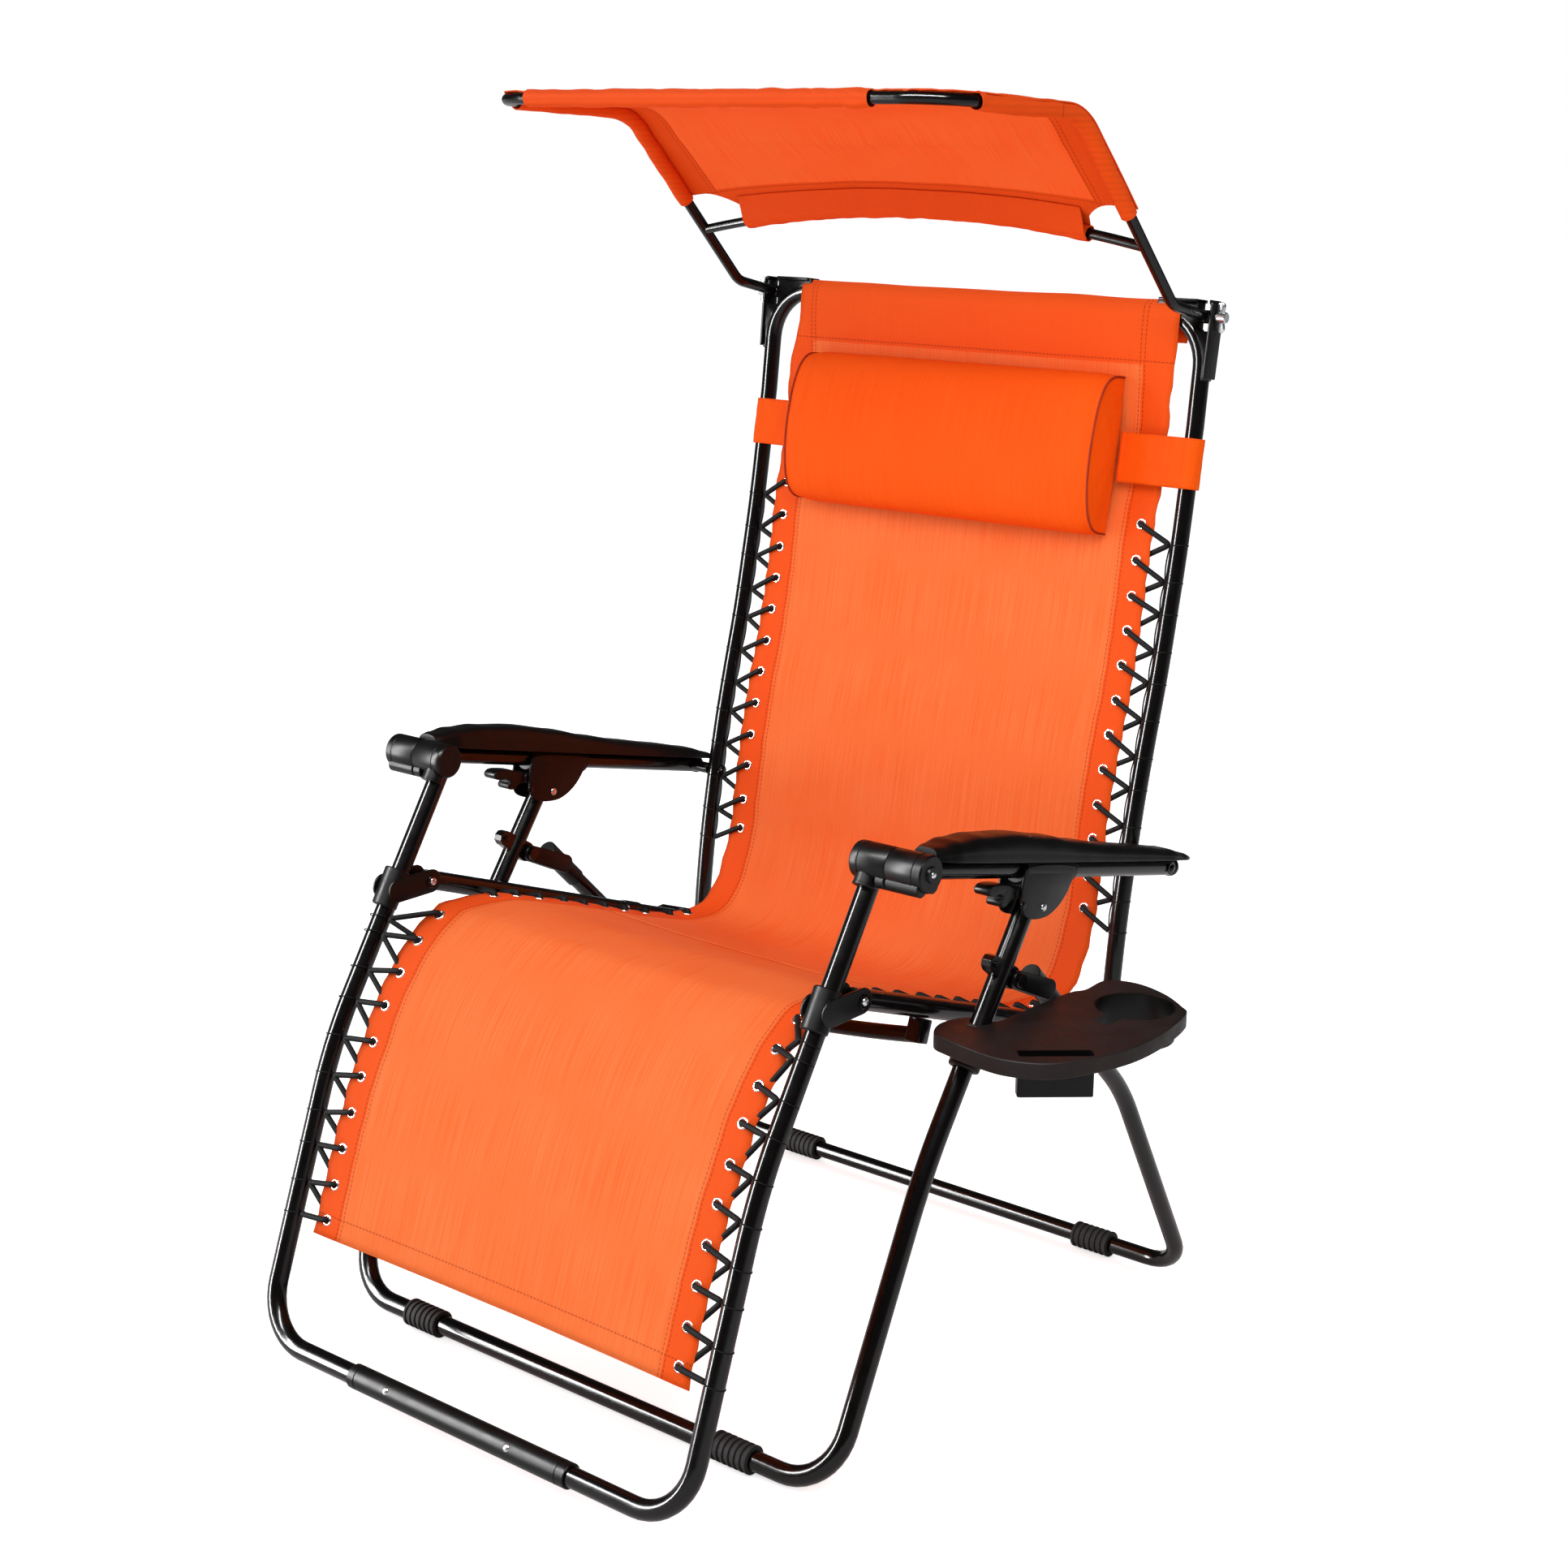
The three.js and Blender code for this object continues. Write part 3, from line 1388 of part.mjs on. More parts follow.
// Eyelets and line both run from the foot end to the head end, so left is the sitter's side
function lacing(eyelets, line, tubeRound) {
  const r = (tubeRound / 2 + cordRound / 2 + clearance) / Math.cos(Math.PI / (2 * wrapSteps));
  const stations = [];
  eyelets.forEach((eye, i) => {
    const ahead = eyelets[Math.min(i + 1, eyelets.length - 1)];
    const behind = eyelets[Math.max(i - 1, 0)];
    const over = leftOf(behind, ahead);
    stations.push(at(eyeletHalfWidth, eye.clone().addScaledVector(over, -eyeRise)));
    stations.push(at(eyeletHalfWidth, eye.clone().addScaledVector(over, eyeRise)));
    const { q, side } = footOnLine(eye, line);
    const aside = eye.clone().sub(q).dot(side);
    const tilt = Math.atan2(aside, frameHalfWidth - eyeletHalfWidth);
    for (let k = 0; k <= wrapSteps; k += 1) {
      const a = (1 / 2 - k / wrapSteps) * Math.PI - tilt;
      const p = q.clone().addScaledVector(side, r * Math.sin(a));
      stations.push(at(frameHalfWidth + r * Math.cos(a), p));
    }
  });
  return tube(stations, cordRound / 2, cordSides);
}

function legTubeLine() {
  const stations = bentRoute([
    { p: at(0, yz(footBar.y, footBar.z)) },
    { p: at(0, yz(calfBend.y, calfBend.z)), radius: calfBend.radius, steps: softBendSteps },
    { p: at(0, kneePoint(kneeSleeve.bottom - cordRound)) },
  ]);
  return stations.map((p) => yz(p.y, p.z));
}

// Assembly
add('front_base', cut(frontBase(), tongueSlot(), mirrored(tongueSlot())), 'steel');
const seatPivotHole = shankHole(baseHalfWidth - overrun, baseHalfWidth + overrun, seatPivot);
add('rear_base', cut(rearBase(), seatPivotHole, mirrored(seatPivotHole)), 'steel');
addPair('cross_tongue', crossTongue(), 'zinc');
addPair('cross_fork', crossFork(), 'steel');
addPair('front_foot', foot(frontFootAt, yz(frontFoot.y, frontFoot.z), legTube), 'rubber');
addPair('rear_foot', foot(rearFootAt, yz(rearFoot.y, rearFoot.z), backTube), 'rubber');
addPair('seat_rail', seatRail(), 'steel');
add('seat_crossbar', seatCrossbar(), 'steel');
addPair('hip_bracket', hipBracket(), 'steel');
addPair('seat_pin', pinWithSpacer(seatPivot, legTube + 2 * saddleRise, backTube), 'zinc');
addPair('hip_pin', pinAcross(hip, legTube / 2 + runningGap + plate, legTube / 2 + runningGap + plate), 'zinc');
addPair('knee_pin', pinAcross(knee, legTube / 2 + runningGap + plate, legTube / 2 + runningGap + plate), 'zinc');
addPair('arm_pin', pinWithSpacer(armPivot, backTube, armTube), 'zinc');
add('back_frame', backFrame(), 'steel');
addPair('back_corner', backCorner(), 'plastic');
add('leg_frame', legFrame(), 'steel');
addPair('knee_bracket', kneeBracket(), 'plastic');
addPair('arm_hub', armHub(), 'plastic');
add('leg_bar_sleeve', legBarSleeve(), 'plastic');
addPair('arm_rail', armRail(), 'steel');
addPair('arm_knuckle', armKnuckle(), 'plastic');
addPair('arm_pad', armPad(), 'plastic');
addPair('lock_slider', lockSlider(), 'plastic');
addPair('lock_lever', lockLever(), 'plastic');
add('tray', tray(), 'tray');
add('canopy_frame', canopyFrame(), 'steel');
addPair('canopy_knob', canopyKnob(), 'plastic');
add('canopy_cover', canopyCover(), 'canopy');
add('pillow', pillowBody(), 'canopy');
addPair('pillow_strap', pillowStrap(), 'canopy');
add('sling_back', slingBack(), 'sling');
add('sling_seat', slingSeat(), 'sling');
add('sling_leg', slingLeg(), 'sling');
addPair('lacing_back', lacing(backEyelets(), backSide(), backTube), 'cord');
addPair('lacing_seat', lacing(seatEyelets(), [knee, hip], legTube), 'cord');
addPair('lacing_leg', lacing(legEyelets, legTubeLine(), legTube), 'cord');

export default lounger;
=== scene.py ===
"""Sun lounger with canopy: bent tube frame, laced mesh sling, head pillow, side tray."""
import math

import bpy
from mathutils import Matrix, Vector, noise


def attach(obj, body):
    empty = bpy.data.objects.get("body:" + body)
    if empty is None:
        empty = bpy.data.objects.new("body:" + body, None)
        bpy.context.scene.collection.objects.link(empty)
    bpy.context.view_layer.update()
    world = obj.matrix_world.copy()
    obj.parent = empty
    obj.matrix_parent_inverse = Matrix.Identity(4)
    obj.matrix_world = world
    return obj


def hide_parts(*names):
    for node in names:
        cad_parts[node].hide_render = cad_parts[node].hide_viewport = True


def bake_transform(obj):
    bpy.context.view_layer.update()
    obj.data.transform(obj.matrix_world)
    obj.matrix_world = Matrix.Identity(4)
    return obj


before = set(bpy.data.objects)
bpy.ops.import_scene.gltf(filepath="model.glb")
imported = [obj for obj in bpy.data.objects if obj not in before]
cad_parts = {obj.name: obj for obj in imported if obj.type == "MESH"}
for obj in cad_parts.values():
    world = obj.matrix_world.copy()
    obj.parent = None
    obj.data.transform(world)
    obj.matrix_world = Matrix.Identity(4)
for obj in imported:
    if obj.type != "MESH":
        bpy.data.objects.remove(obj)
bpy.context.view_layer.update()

# Sizes in mm. A half is a distance from the middle plane
ORIGIN_X = 65.0
ORIGIN_Y = 184.0
FRAME_HALF = 307.0
BASE_HALF = 353.0
EYELET_HALF = 257.5
SLING_HALF = 275.0
PILLOW_HALF = 218.0
PILLOW_SHIFT = -4.0
PILLOW_LIFT = 9.0
CANOPY_HALF = 314.0
CROSSBAR_BOW = 30.0
TUBE_SIDES = 28

# Pivots in the side plane, as (y, z)
KNEE = (0.0, 502.0)
HIP = (474.0, 338.0)
HUB = (29.0, 635.0)
ARM = (501.0, 535.0)
CROSS = (205.0, 481.0)
CANOPY = (612.0, 1130.0)
SLIDE = (236.0, 562.0)
SEAT_PIVOT_SHARE = 0.713

# Where the tubes bend and where their bars lie, as (y, z)
FRONT_BEND = (62.4, 311.6)
FRONT_BAR = (-81, 16)
REAR_TOP = (246, 472)
REAR_BEND = (435, 290.7)
REAR_BAR = (594, 16)
LEG_BEND = (-139, 348)
LEG_BEND_RADIUS = 520
LEG_BAR = (-248, 35)
CANOPY_LOW = (540, 1146)
CANOPY_BEND = (345, 1343)
CANOPY_FRONT = (118, 1353)

# The back tube's curve above the hip, as shares of its lean and of its rise
BACK_DEPTH = 141
BACK_HEIGHT = 796
BACK_LEAN = (0, 0.043, 0.12, 0.26, 0.39, 0.532, 0.65, 0.759, 0.9, 1)
BACK_RISE = (0, 0.078, 0.178, 0.308, 0.404, 0.499, 0.594, 0.69, 0.845, 1)

# Eyelets along one side, as (y, z)
BACK_EYES = [
    (578.7, 899.8), (571.4, 859.7), (565.8, 819.6), (559, 781), (550.7, 742.5), (541.6, 703.3),
    (530.2, 665.5), (520.9, 626.5), (512, 587.1), (505.5, 548.5), (498, 505.6), (492.8, 468.9),
]
SEAT_EYES = [
    (62, 477), (98, 469), (135, 457), (175, 444), (209, 432),
    (244, 421), (278, 409), (316, 397), (360, 384), (393, 378),
]
LEG_EYES = [
    (-22, 474), (-54.6, 452), (-82, 422), (-105, 390), (-123.5, 353),
    (-142, 318), (-157.5, 280.5), (-172, 243), (-185, 205), (-197.5, 167.6),
]

# Tray
TRAY_CENTRE = (418, 222)
TRAY_HALF = (94, 142)
CUP = (447, 298)
CUP_RADIUS = 41
CUP_RING_RADIUS = 42.4
PHONE_SLOT = (462, 128)
PHONE_SLOT_TURN = 42


def place(x, y, z):
    """A point in mm, in the chair's own measures, as metres in the shared frame."""
    return Vector(((x - ORIGIN_X) / 1000, (y - ORIGIN_Y) / 1000, z / 1000))


def mm(value):
    return value / 1000


def unit(value):
    """The value, kept between 0 and 1."""
    return min(1.0, max(0.0, value))


# Materials
def linear(code):
    values = [int(code[i:i + 2], 16) / 255 for i in (1, 3, 5)]
    return [v / 12.92 if v < 0.04045 else ((v + 0.055) / 1.055) ** 2.4 for v in values] + [1]


def plug(tree, made, inputs):
    """Fill a node's inputs: a node or socket is linked, a number or hex colour is set."""
    for socket, value in inputs.items():
        if isinstance(value, bpy.types.Node):
            value = value.outputs[0]
        if isinstance(value, bpy.types.NodeSocket):
            tree.links.new(value, made.inputs[socket])
        else:
            made.inputs[socket].default_value = linear(value) if isinstance(value, str) else value
    return made


def node(tree, kind, inputs={}, stops=(), **settings):
    """One node with its settings, its inputs and the stops of its colour ramp."""
    made = tree.nodes.new("ShaderNode" + kind)
    for key, value in settings.items():
        setattr(made, key, value)
    for k, (position, colour) in enumerate(stops):
        made.color_ramp.elements[k].position = position
        made.color_ramp.elements[k].color = linear(colour)
    return plug(tree, made, inputs)


def new_material(name):
    material = bpy.data.materials.new(name)
    material.use_nodes = True
    tree = material.node_tree
    tree.nodes.clear()
    shader = node(tree, "BsdfPrincipled")
    node(tree, "OutputMaterial", {0: shader})
    return material, tree, shader


def blotches(tree, size_mm, detail=4.0, rough=0.5):
    """Noise whose blotches are about the given size across."""
    coords = node(tree, "TexCoord")
    return node(tree, "TexNoise", {
        "Vector": coords.outputs["Object"], "Scale": 1000 / size_mm, "Detail": detail, "Roughness": rough,
    })


def hard_finish(name, dark, light, rough_low, rough_high, grain_mm, depth_mm, sockets={}):
    """A coated or moulded skin: mottled colour, uneven gloss and a fine grain in relief."""
    material, tree, shader = new_material(name)
    plug(tree, shader, {
        "Base Color": node(tree, "ValToRGB", {0: blotches(tree, 60, 5, 0.6)}, [(0.3, dark), (0.7, light)]),
        "Roughness": node(tree, "MapRange", {
            "Value": blotches(tree, 25, 6, 0.65), "From Min": 0.3, "From Max": 0.7,
            "To Min": rough_low, "To Max": rough_high,
        }),
        "Normal": node(tree, "Bump", {
            "Height": blotches(tree, grain_mm, 2), "Strength": 0.35, "Distance": mm(depth_mm),
        }),
        **sockets,
    })
    return material


# Steel tube under gloss powder coat: near black with a brown cast and soft orange peel
powder_coat = hard_finish(
    "powder_coated_steel", "#060404", "#0b0807", 0.15, 0.22, 2.2, 0.015, {"Specular IOR Level": 0.32},
)
# Moulded polypropylene, satin, with a fine spark-eroded grain
moulded = hard_finish(
    "moulded_polypropylene", "#060504", "#0b0908", 0.3, 0.42, 0.9, 0.03, {"Specular IOR Level": 0.2},
)
# The tray is the same stuff in dark brown and duller
tray_plastic = hard_finish(
    "tray_polypropylene", "#170d0b", "#201410", 0.46, 0.62, 1.1, 0.06, {"Specular IOR Level": 0.25},
)
# Moulded rubber feet: matte, dusty black
foot_rubber = hard_finish("foot_rubber", "#100f0e", "#1b1918", 0.75, 0.92, 0.7, 0.05)
# Nickel-plated steel: bright with faint clouding
nickel = hard_finish("nickel_plate", "#c9cbcd", "#e2e3e4", 0.16, 0.3, 0.8, 0.01, {"Metallic": 1.0})
# The pipe cord that closes the pillow's ends: orange cloth, its much darker orange painted shade along the
# seam
seam_shade_piping = hard_finish(
    "polyester_piping_seam_shade", "#8c2606", "#a93208", 0.75, 0.9, 1.4, 0.2, {"Specular IOR Level": 0.15},
)


def braid():
    """Braided elastic cord: black yarns that cross about every 3 mm, matte, with little relief."""
    material, tree, shader = new_material("braided_elastic")
    coords = node(tree, "TexCoord")
    waves = []
    for turn in (0.75, -0.75):
        leaning = node(tree, "Mapping", {
            "Vector": coords.outputs["Object"], "Rotation": (turn, turn, 0.4),
        })
        waves.append(node(tree, "TexWave", {"Vector": leaning, "Scale": 100.0}).outputs["Fac"])
    height = node(tree, "Math", {0: waves[0], 1: waves[1]}, operation="MAXIMUM")
    plug(tree, shader, {
        "Base Color": node(tree, "ValToRGB", {0: height}, [(0.0, "#040303"), (1.0, "#0e0c0c")]),
        "Specular IOR Level": 0.12,
        "Roughness": 0.7,
        "Normal": node(tree, "Bump", {"Height": height, "Strength": 0.6, "Distance": mm(0.3)}),
    })
    return material


def ridges(tree, source, spacing_mm):
    """Threads that run one way, at their real spacing."""
    angle = node(tree, "Math", {0: source, 1: math.pi / mm(spacing_mm)}, operation="MULTIPLY")
    wave = node(tree, "Math", {0: angle}, operation="SINE")
    return node(tree, "Math", {0: wave}, operation="ABSOLUTE")


def zone(tree, source, low, high):
    """One where the source lies between two values, and zero elsewhere."""
    above = node(tree, "Math", {0: source, 1: low}, operation="GREATER_THAN")
    below = node(tree, "Math", {0: source, 1: high}, operation="LESS_THAN")
    return node(tree, "Math", {0: above, 1: below}, operation="MULTIPLY")


def stitch_row(tree, source, other, at):
    """A row of stitches: dashes 3.5 mm long and 1.8 mm wide, one every 5 mm."""
    offset = node(tree, "Math", {0: source, 1: at}, operation="SUBTRACT")
    distance = node(tree, "Math", {0: offset}, operation="ABSOLUTE")
    near = node(tree, "Math", {0: distance, 1: mm(0.9)}, operation="LESS_THAN")
    count = node(tree, "Math", {0: other, 1: 1000 / 5.0}, operation="MULTIPLY")
    part = node(tree, "Math", {0: count}, operation="FRACT")
    dash = node(tree, "Math", {0: part, 1: 0.3}, operation="GREATER_THAN")
    return node(tree, "Math", {0: near, 1: dash}, operation="MULTIPLY")


def all_of(tree, patterns):
    """Several patterns laid over each other."""
    whole = patterns[0]
    for pattern in patterns[1:]:
        whole = node(tree, "Math", {0: whole, 1: pattern}, operation="MAXIMUM")
    return whole


def blend_colours(tree, factor, a, b):
    return node(tree, "Mix", {0: factor, 6: a, 7: b}, data_type="RGBA").outputs[2]


def cloth(name, plain, streak, band, band_rules, weave_mm, rough=0.78, relief=0.25, stitch=()):
    """Woven cloth on a UV map in metres: U across from the middle, V along the cloth.

    band_rules are (axis, from, to) in metres where the sewn border shows in the band colour, and
    stitch holds the (axis, place) of each row of stitches.
    """
    material, tree, shader = new_material(name)
    uv = node(tree, "UVMap", uv_map="cloth")
    split = node(tree, "SeparateXYZ", {"Vector": uv})
    width, along = split.outputs[0], split.outputs[1]
    across = node(tree, "Math", {0: width}, operation="ABSOLUTE")
    stretched = node(tree, "Mapping", {"Vector": uv, "Scale": (700.0, 9.0, 1.0)})
    streaks = node(tree, "TexNoise", {"Vector": stretched, "Scale": 1.0, "Detail": 3.0})
    patches = node(tree, "TexNoise", {"Vector": uv, "Scale": 9.0, "Detail": 4.0})
    mixed = node(tree, "Math", {
        0: node(tree, "Math", {0: streaks, 1: 0.7}, operation="MULTIPLY"),
        1: node(tree, "Math", {0: patches, 1: 0.3}, operation="MULTIPLY"),
    }, operation="ADD")
    colour = node(tree, "ValToRGB", {0: mixed}, [(0.35, streak), (0.62, plain)])
    if band_rules:
        inside = all_of(tree, [
            zone(tree, across if axis == "u" else along, low, high) for axis, low, high in band_rules
        ])
        half = node(tree, "Math", {0: mixed, 1: 0.5}, operation="MULTIPLY")
        colour = blend_colours(tree, inside, colour, blend_colours(tree, half, band, streak))
    # Two sets of threads, with painted shade in the gaps between them
    weave = node(tree, "Math", {
        0: ridges(tree, width, weave_mm), 1: ridges(tree, along, weave_mm),
    }, operation="MULTIPLY")
    gap = node(tree, "Math", {0: 1.0, 1: weave}, operation="SUBTRACT")
    shade = node(tree, "Math", {0: gap, 1: 0.18}, operation="MULTIPLY")
    colour = blend_colours(tree, shade, colour, "#7a1c04")
    height = weave
    if stitch:
        rows = all_of(tree, [
            stitch_row(tree, across, along, at) if axis == "u" else stitch_row(tree, along, width, at)
            for axis, at in stitch
        ])
        tint = node(tree, "Math", {0: rows, 1: 0.55}, operation="MULTIPLY")
        colour = blend_colours(tree, tint, colour, "#a52b06")
        height = node(tree, "Math", {
            0: node(tree, "Math", {0: weave, 1: 0.4}, operation="MULTIPLY"),
            1: node(tree, "Math", {0: rows, 1: 1.5}, operation="MULTIPLY"),
        }, operation="SUBTRACT")
    plug(tree, shader, {
        "Base Color": colour,
        "Roughness": rough,
        "Specular IOR Level": 0.04,
        "Normal": node(tree, "Bump", {"Height": height, "Strength": relief, "Distance": mm(0.35)}),
    })
    return material


elastic = braid()
# Plain-woven polyester, dyed orange, on the pillow and its straps: soft, with hardly any shine
pillow_cloth = cloth("pillow_polyester", "#ff5f0e", "#f85606", "#fb4f0c", [], 1.6, 0.8, 0.15)


# Making pieces
def deselect():
    if bpy.context.object and bpy.context.object.mode != "OBJECT":
        bpy.ops.object.mode_set(mode="OBJECT")
    bpy.ops.object.select_all(action="DESELECT")


def activate(piece):
    deselect()
    piece.select_set(True)
    bpy.context.view_layer.objects.active = piece


def take(name, material):
    """The active object becomes a finished piece of the given name and material."""
    made = bpy.context.object
    bpy.ops.object.transform_apply(location=True, rotation=True, scale=True)
    made.name = name
    made.data.materials.clear()
    made.data.materials.append(material)
    return made


def modifier(piece, kind, **settings):
    made = piece.modifiers.new(kind.lower(), kind)
    for key, value in settings.items():
        setattr(made, key, value)
    return made


def worked(piece, kind, **settings):
    """The piece with one modifier added and applied."""
    made = modifier(piece, kind, **settings)
    activate(piece)
    bpy.ops.object.modifier_apply(modifier=made.name)
    return piece


def ease_edges(piece, width_mm, segments, degrees):
    return worked(piece, "BEVEL", width=mm(width_mm), segments=segments, limit_method="ANGLE",
                  angle_limit=math.radians(degrees))


def thicken(piece, thick_mm):
    return worked(piece, "SOLIDIFY", thickness=mm(thick_mm), offset=0.0)


def merged(piece, operation, other):
    """The piece joined with or cut by another, which is then removed."""
    worked(piece, "BOOLEAN", operation=operation, object=other, solver="EXACT")
    bpy.data.objects.remove(other)


def cut_away(piece, cutter):
    merged(piece, "DIFFERENCE", cutter)


def smooth(piece, degrees=40):
    activate(piece)
    bpy.ops.object.shade_smooth_by_angle(angle=math.radians(degrees))


def join(pieces, name):
    deselect()
    for piece in pieces:
        piece.select_set(True)
    bpy.context.view_layer.objects.active = pieces[0]
    if len(pieces) > 1:
        bpy.ops.object.join()
    pieces[0].name = name
    return pieces[0]


def face_out():
    """Turn every face outwards and leave edit mode."""
    bpy.ops.mesh.select_all(action="SELECT")
    bpy.ops.mesh.normals_make_consistent(inside=False)
    bpy.ops.object.mode_set(mode="OBJECT")


def seal(piece, gap, fill=False):
    """Merge points nearer than the gap in metres, and fill the open rims if asked."""
    activate(piece)
    bpy.ops.object.mode_set(mode="EDIT")
    bpy.ops.mesh.select_all(action="SELECT")
    bpy.ops.mesh.remove_doubles(threshold=gap)
    if fill:
        bpy.ops.mesh.select_all(action="DESELECT")
        bpy.ops.mesh.select_non_manifold()
        bpy.ops.mesh.fill_holes(sides=0)
    face_out()


def bent(corners, step_mm=9.0):
    """Points in mm through corners (x, y, z, radius), each corner turned by its own arc."""
    points = []
    for i, (x, y, z, radius) in enumerate(corners):
        here = Vector((x, y, z))
        if not radius:
            points.append(here)
            continue
        into = (here - Vector(corners[i - 1][:3])).normalized()
        out = (Vector(corners[i + 1][:3]) - here).normalized()
        turn = into.angle(out)
        start = here - into * radius * math.tan(turn / 2)
        inward = (out - into * out.dot(into)).normalized()
        centre = start + inward * radius
        count = max(6, int(radius * turn / step_mm))
        for k in range(count + 1):
            a = turn * k / count
            points.append(centre - inward * radius * math.cos(a) + into * radius * math.sin(a))
    return points


def hoop(half):
    """A half hoop's corners on the sitter's left, with its mirror image added."""
    return half + [(-x, y, z, r) for x, y, z, r in reversed(half)]


def spline(a, b, c, d, t):
    """The point at the share t from b to c, on a smooth curve through all four."""
    return 0.5 * (2 * b + (c - a) * t + (2 * a - 5 * b + 4 * c - d) * t ** 2
                  + (3 * b - a - 3 * c + d) * t ** 3)


def smooth_line(points, spacing):
    """A curve through the points, resampled at about the given spacing."""
    points = [Vector(p) for p in points]
    padded = [points[0] * 2 - points[1]] + points + [points[-1] * 2 - points[-2]]
    fine = []
    for i in range(1, len(padded) - 2):
        fine += [spline(*padded[i - 1:i + 3], k / 12) for k in range(12)]
    fine.append(points[-1])
    return evenly(fine, spacing)


def closed_line(points, per_side=6):
    """A smooth closed outline through the points."""
    points = [Vector(p) for p in points]
    count = len(points)
    result = []
    for i in range(count):
        corners = [points[(i + k) % count] for k in (-1, 0, 1, 2)]
        result += [spline(*corners, k / per_side) for k in range(per_side)]
    return result


def eased_line(points, share, rounds=2):
    """A line with its corners cut off, which stays straight between them."""
    points = [Vector(p) for p in points]
    for _ in range(rounds):
        cut = [points[0]]
        for a, b in zip(points, points[1:]):
            cut += [a.lerp(b, share), a.lerp(b, 1 - share)]
        points = cut + [points[-1]]
    return points


def run_lengths(line):
    """The length along the line up to each of its points."""
    lengths = [0.0]
    for a, b in zip(line, line[1:]):
        lengths.append(lengths[-1] + (b - a).length)
    return lengths


def evenly(fine, spacing):
    """The line, resampled at about the given spacing."""
    lengths = run_lengths(fine)
    count = max(2, round(lengths[-1] / spacing))
    result = []
    k = 0
    for i in range(count + 1):
        want = lengths[-1] * i / count
        while k < len(lengths) - 2 and lengths[k + 1] < want:
            k += 1
        span = lengths[k + 1] - lengths[k] or 1
        result.append(fine[k].lerp(fine[k + 1], min(1, (want - lengths[k]) / span)))
    return result


def heading(line, k):
    """The line's direction at its point k."""
    return (line[min(k + 1, len(line) - 1)] - line[max(k - 1, 0)]).normalized()


def square_to(way):
    """The direction at right angles to the given one, in the side plane."""
    return Vector((0, -way.z, way.y))


def tube(name, points, radius_mm, material, sides=TUBE_SIDES, closed=False, caps=True):
    """A round tube along points in mm, made from a bevelled curve."""
    deselect()
    curve = bpy.data.curves.new(name, "CURVE")
    curve.dimensions = "3D"
    curve.bevel_depth = mm(radius_mm)
    curve.bevel_resolution = max(0, sides // 4 - 1)
    curve.use_fill_caps = caps and not closed
    line = curve.splines.new("POLY")
    line.points.add(len(points) - 1)
    line.use_cyclic_u = closed
    for slot, p in zip(line.points, points):
        slot.co = (*place(*p), 1)
    made = bpy.data.objects.new(name, curve)
    bpy.context.collection.objects.link(made)
    activate(made)
    bpy.ops.object.convert(target="MESH")
    made = take(name, material)
    smooth(made, 50)
    return made


def turned(name, rings, material, sides=40):
    """A round piece along one axis: rings of (x, y, z, radius) in mm."""
    deselect()
    x, y, z, radius = rings[0]
    axis = Vector(rings[-1][:3]) - Vector(rings[0][:3])
    turn = axis.to_track_quat("Z", "Y").to_euler()
    bpy.ops.mesh.primitive_circle_add(
        vertices=sides, radius=mm(radius), fill_type="NGON", location=place(x, y, z), rotation=turn,
    )
    bpy.ops.object.transform_apply(location=True, rotation=True, scale=True)
    bpy.ops.object.mode_set(mode="EDIT")
    bpy.ops.mesh.select_all(action="SELECT")
    for before, after in zip(rings, rings[1:]):
        move = place(*after[:3]) - place(*before[:3])
        bpy.ops.mesh.extrude_region_move(TRANSFORM_OT_translate={"value": move})
        ratio = after[3] / before[3]
        if abs(ratio - 1) > 1e-6:
            bpy.ops.transform.resize(value=(ratio, ratio, ratio))
    face_out()
    made = take(name, material)
    smooth(made, 35)
    return made


def grid(name, nu, nv, shape, material):
    """A sheet of nu by nv faces; shape(u, v), each from 0 to 1, gives a point and a UV in metres."""
    deselect()
    bpy.ops.mesh.primitive_grid_add(x_subdivisions=nu, y_subdivisions=nv, size=2)
    made = bpy.context.object
    cells = [shape((v.co.x + 1) / 2, (v.co.y + 1) / 2) for v in made.data.vertices]
    for vertex, (point, _) in zip(made.data.vertices, cells):
        vertex.co = point
    layer = made.data.uv_layers[0]
    layer.name = "cloth"
    for loop in made.data.loops:
        layer.data[loop.index].uv = cells[loop.vertex_index][1]
    made = take(name, material)
    smooth(made, 70)
    return made


def plate(name, outline, way, material, bevel_mm=1.0):
    """A flat outline of points in mm, extruded once by the vector way, with its edges eased."""
    deselect()
    bpy.ops.mesh.primitive_circle_add(vertices=len(outline), radius=1, fill_type="NGON")
    made = bpy.context.object
    for vertex, p in zip(made.data.vertices, outline):
        vertex.co = place(*p)
    bpy.ops.object.mode_set(mode="EDIT")
    bpy.ops.mesh.select_all(action="SELECT")
    bpy.ops.mesh.extrude_region_move(TRANSFORM_OT_translate={"value": Vector(way) / 1000})
    face_out()
    made = take(name, material)
    if bevel_mm:
        ease_edges(made, bevel_mm, 3, 38)
    smooth(made, 38)
    return made


def rod(name, start, end, radius, material, ease=0.8, sides=36):
    """A short round bar between two points in mm, its end edges eased."""
    start, end = Vector(start), Vector(end)
    way = (end - start).normalized() * ease
    rings = [
        (*start, radius - ease), (*(start + way), radius), (*(end - way), radius), (*end, radius - ease),
    ]
    return turned(name, rings, material, sides)


def dome(name, spot, facing, radius, high, material):
    """A rivet's low domed head."""
    spot, facing = Vector(spot), Vector(facing).normalized()
    rings = [(*spot, radius)]
    for k in range(1, 5):
        a = k / 5 * math.pi / 2
        rings.append((*(spot + facing * high * math.sin(a)), radius * math.cos(a)))
    return turned(name, rings, material, 24)


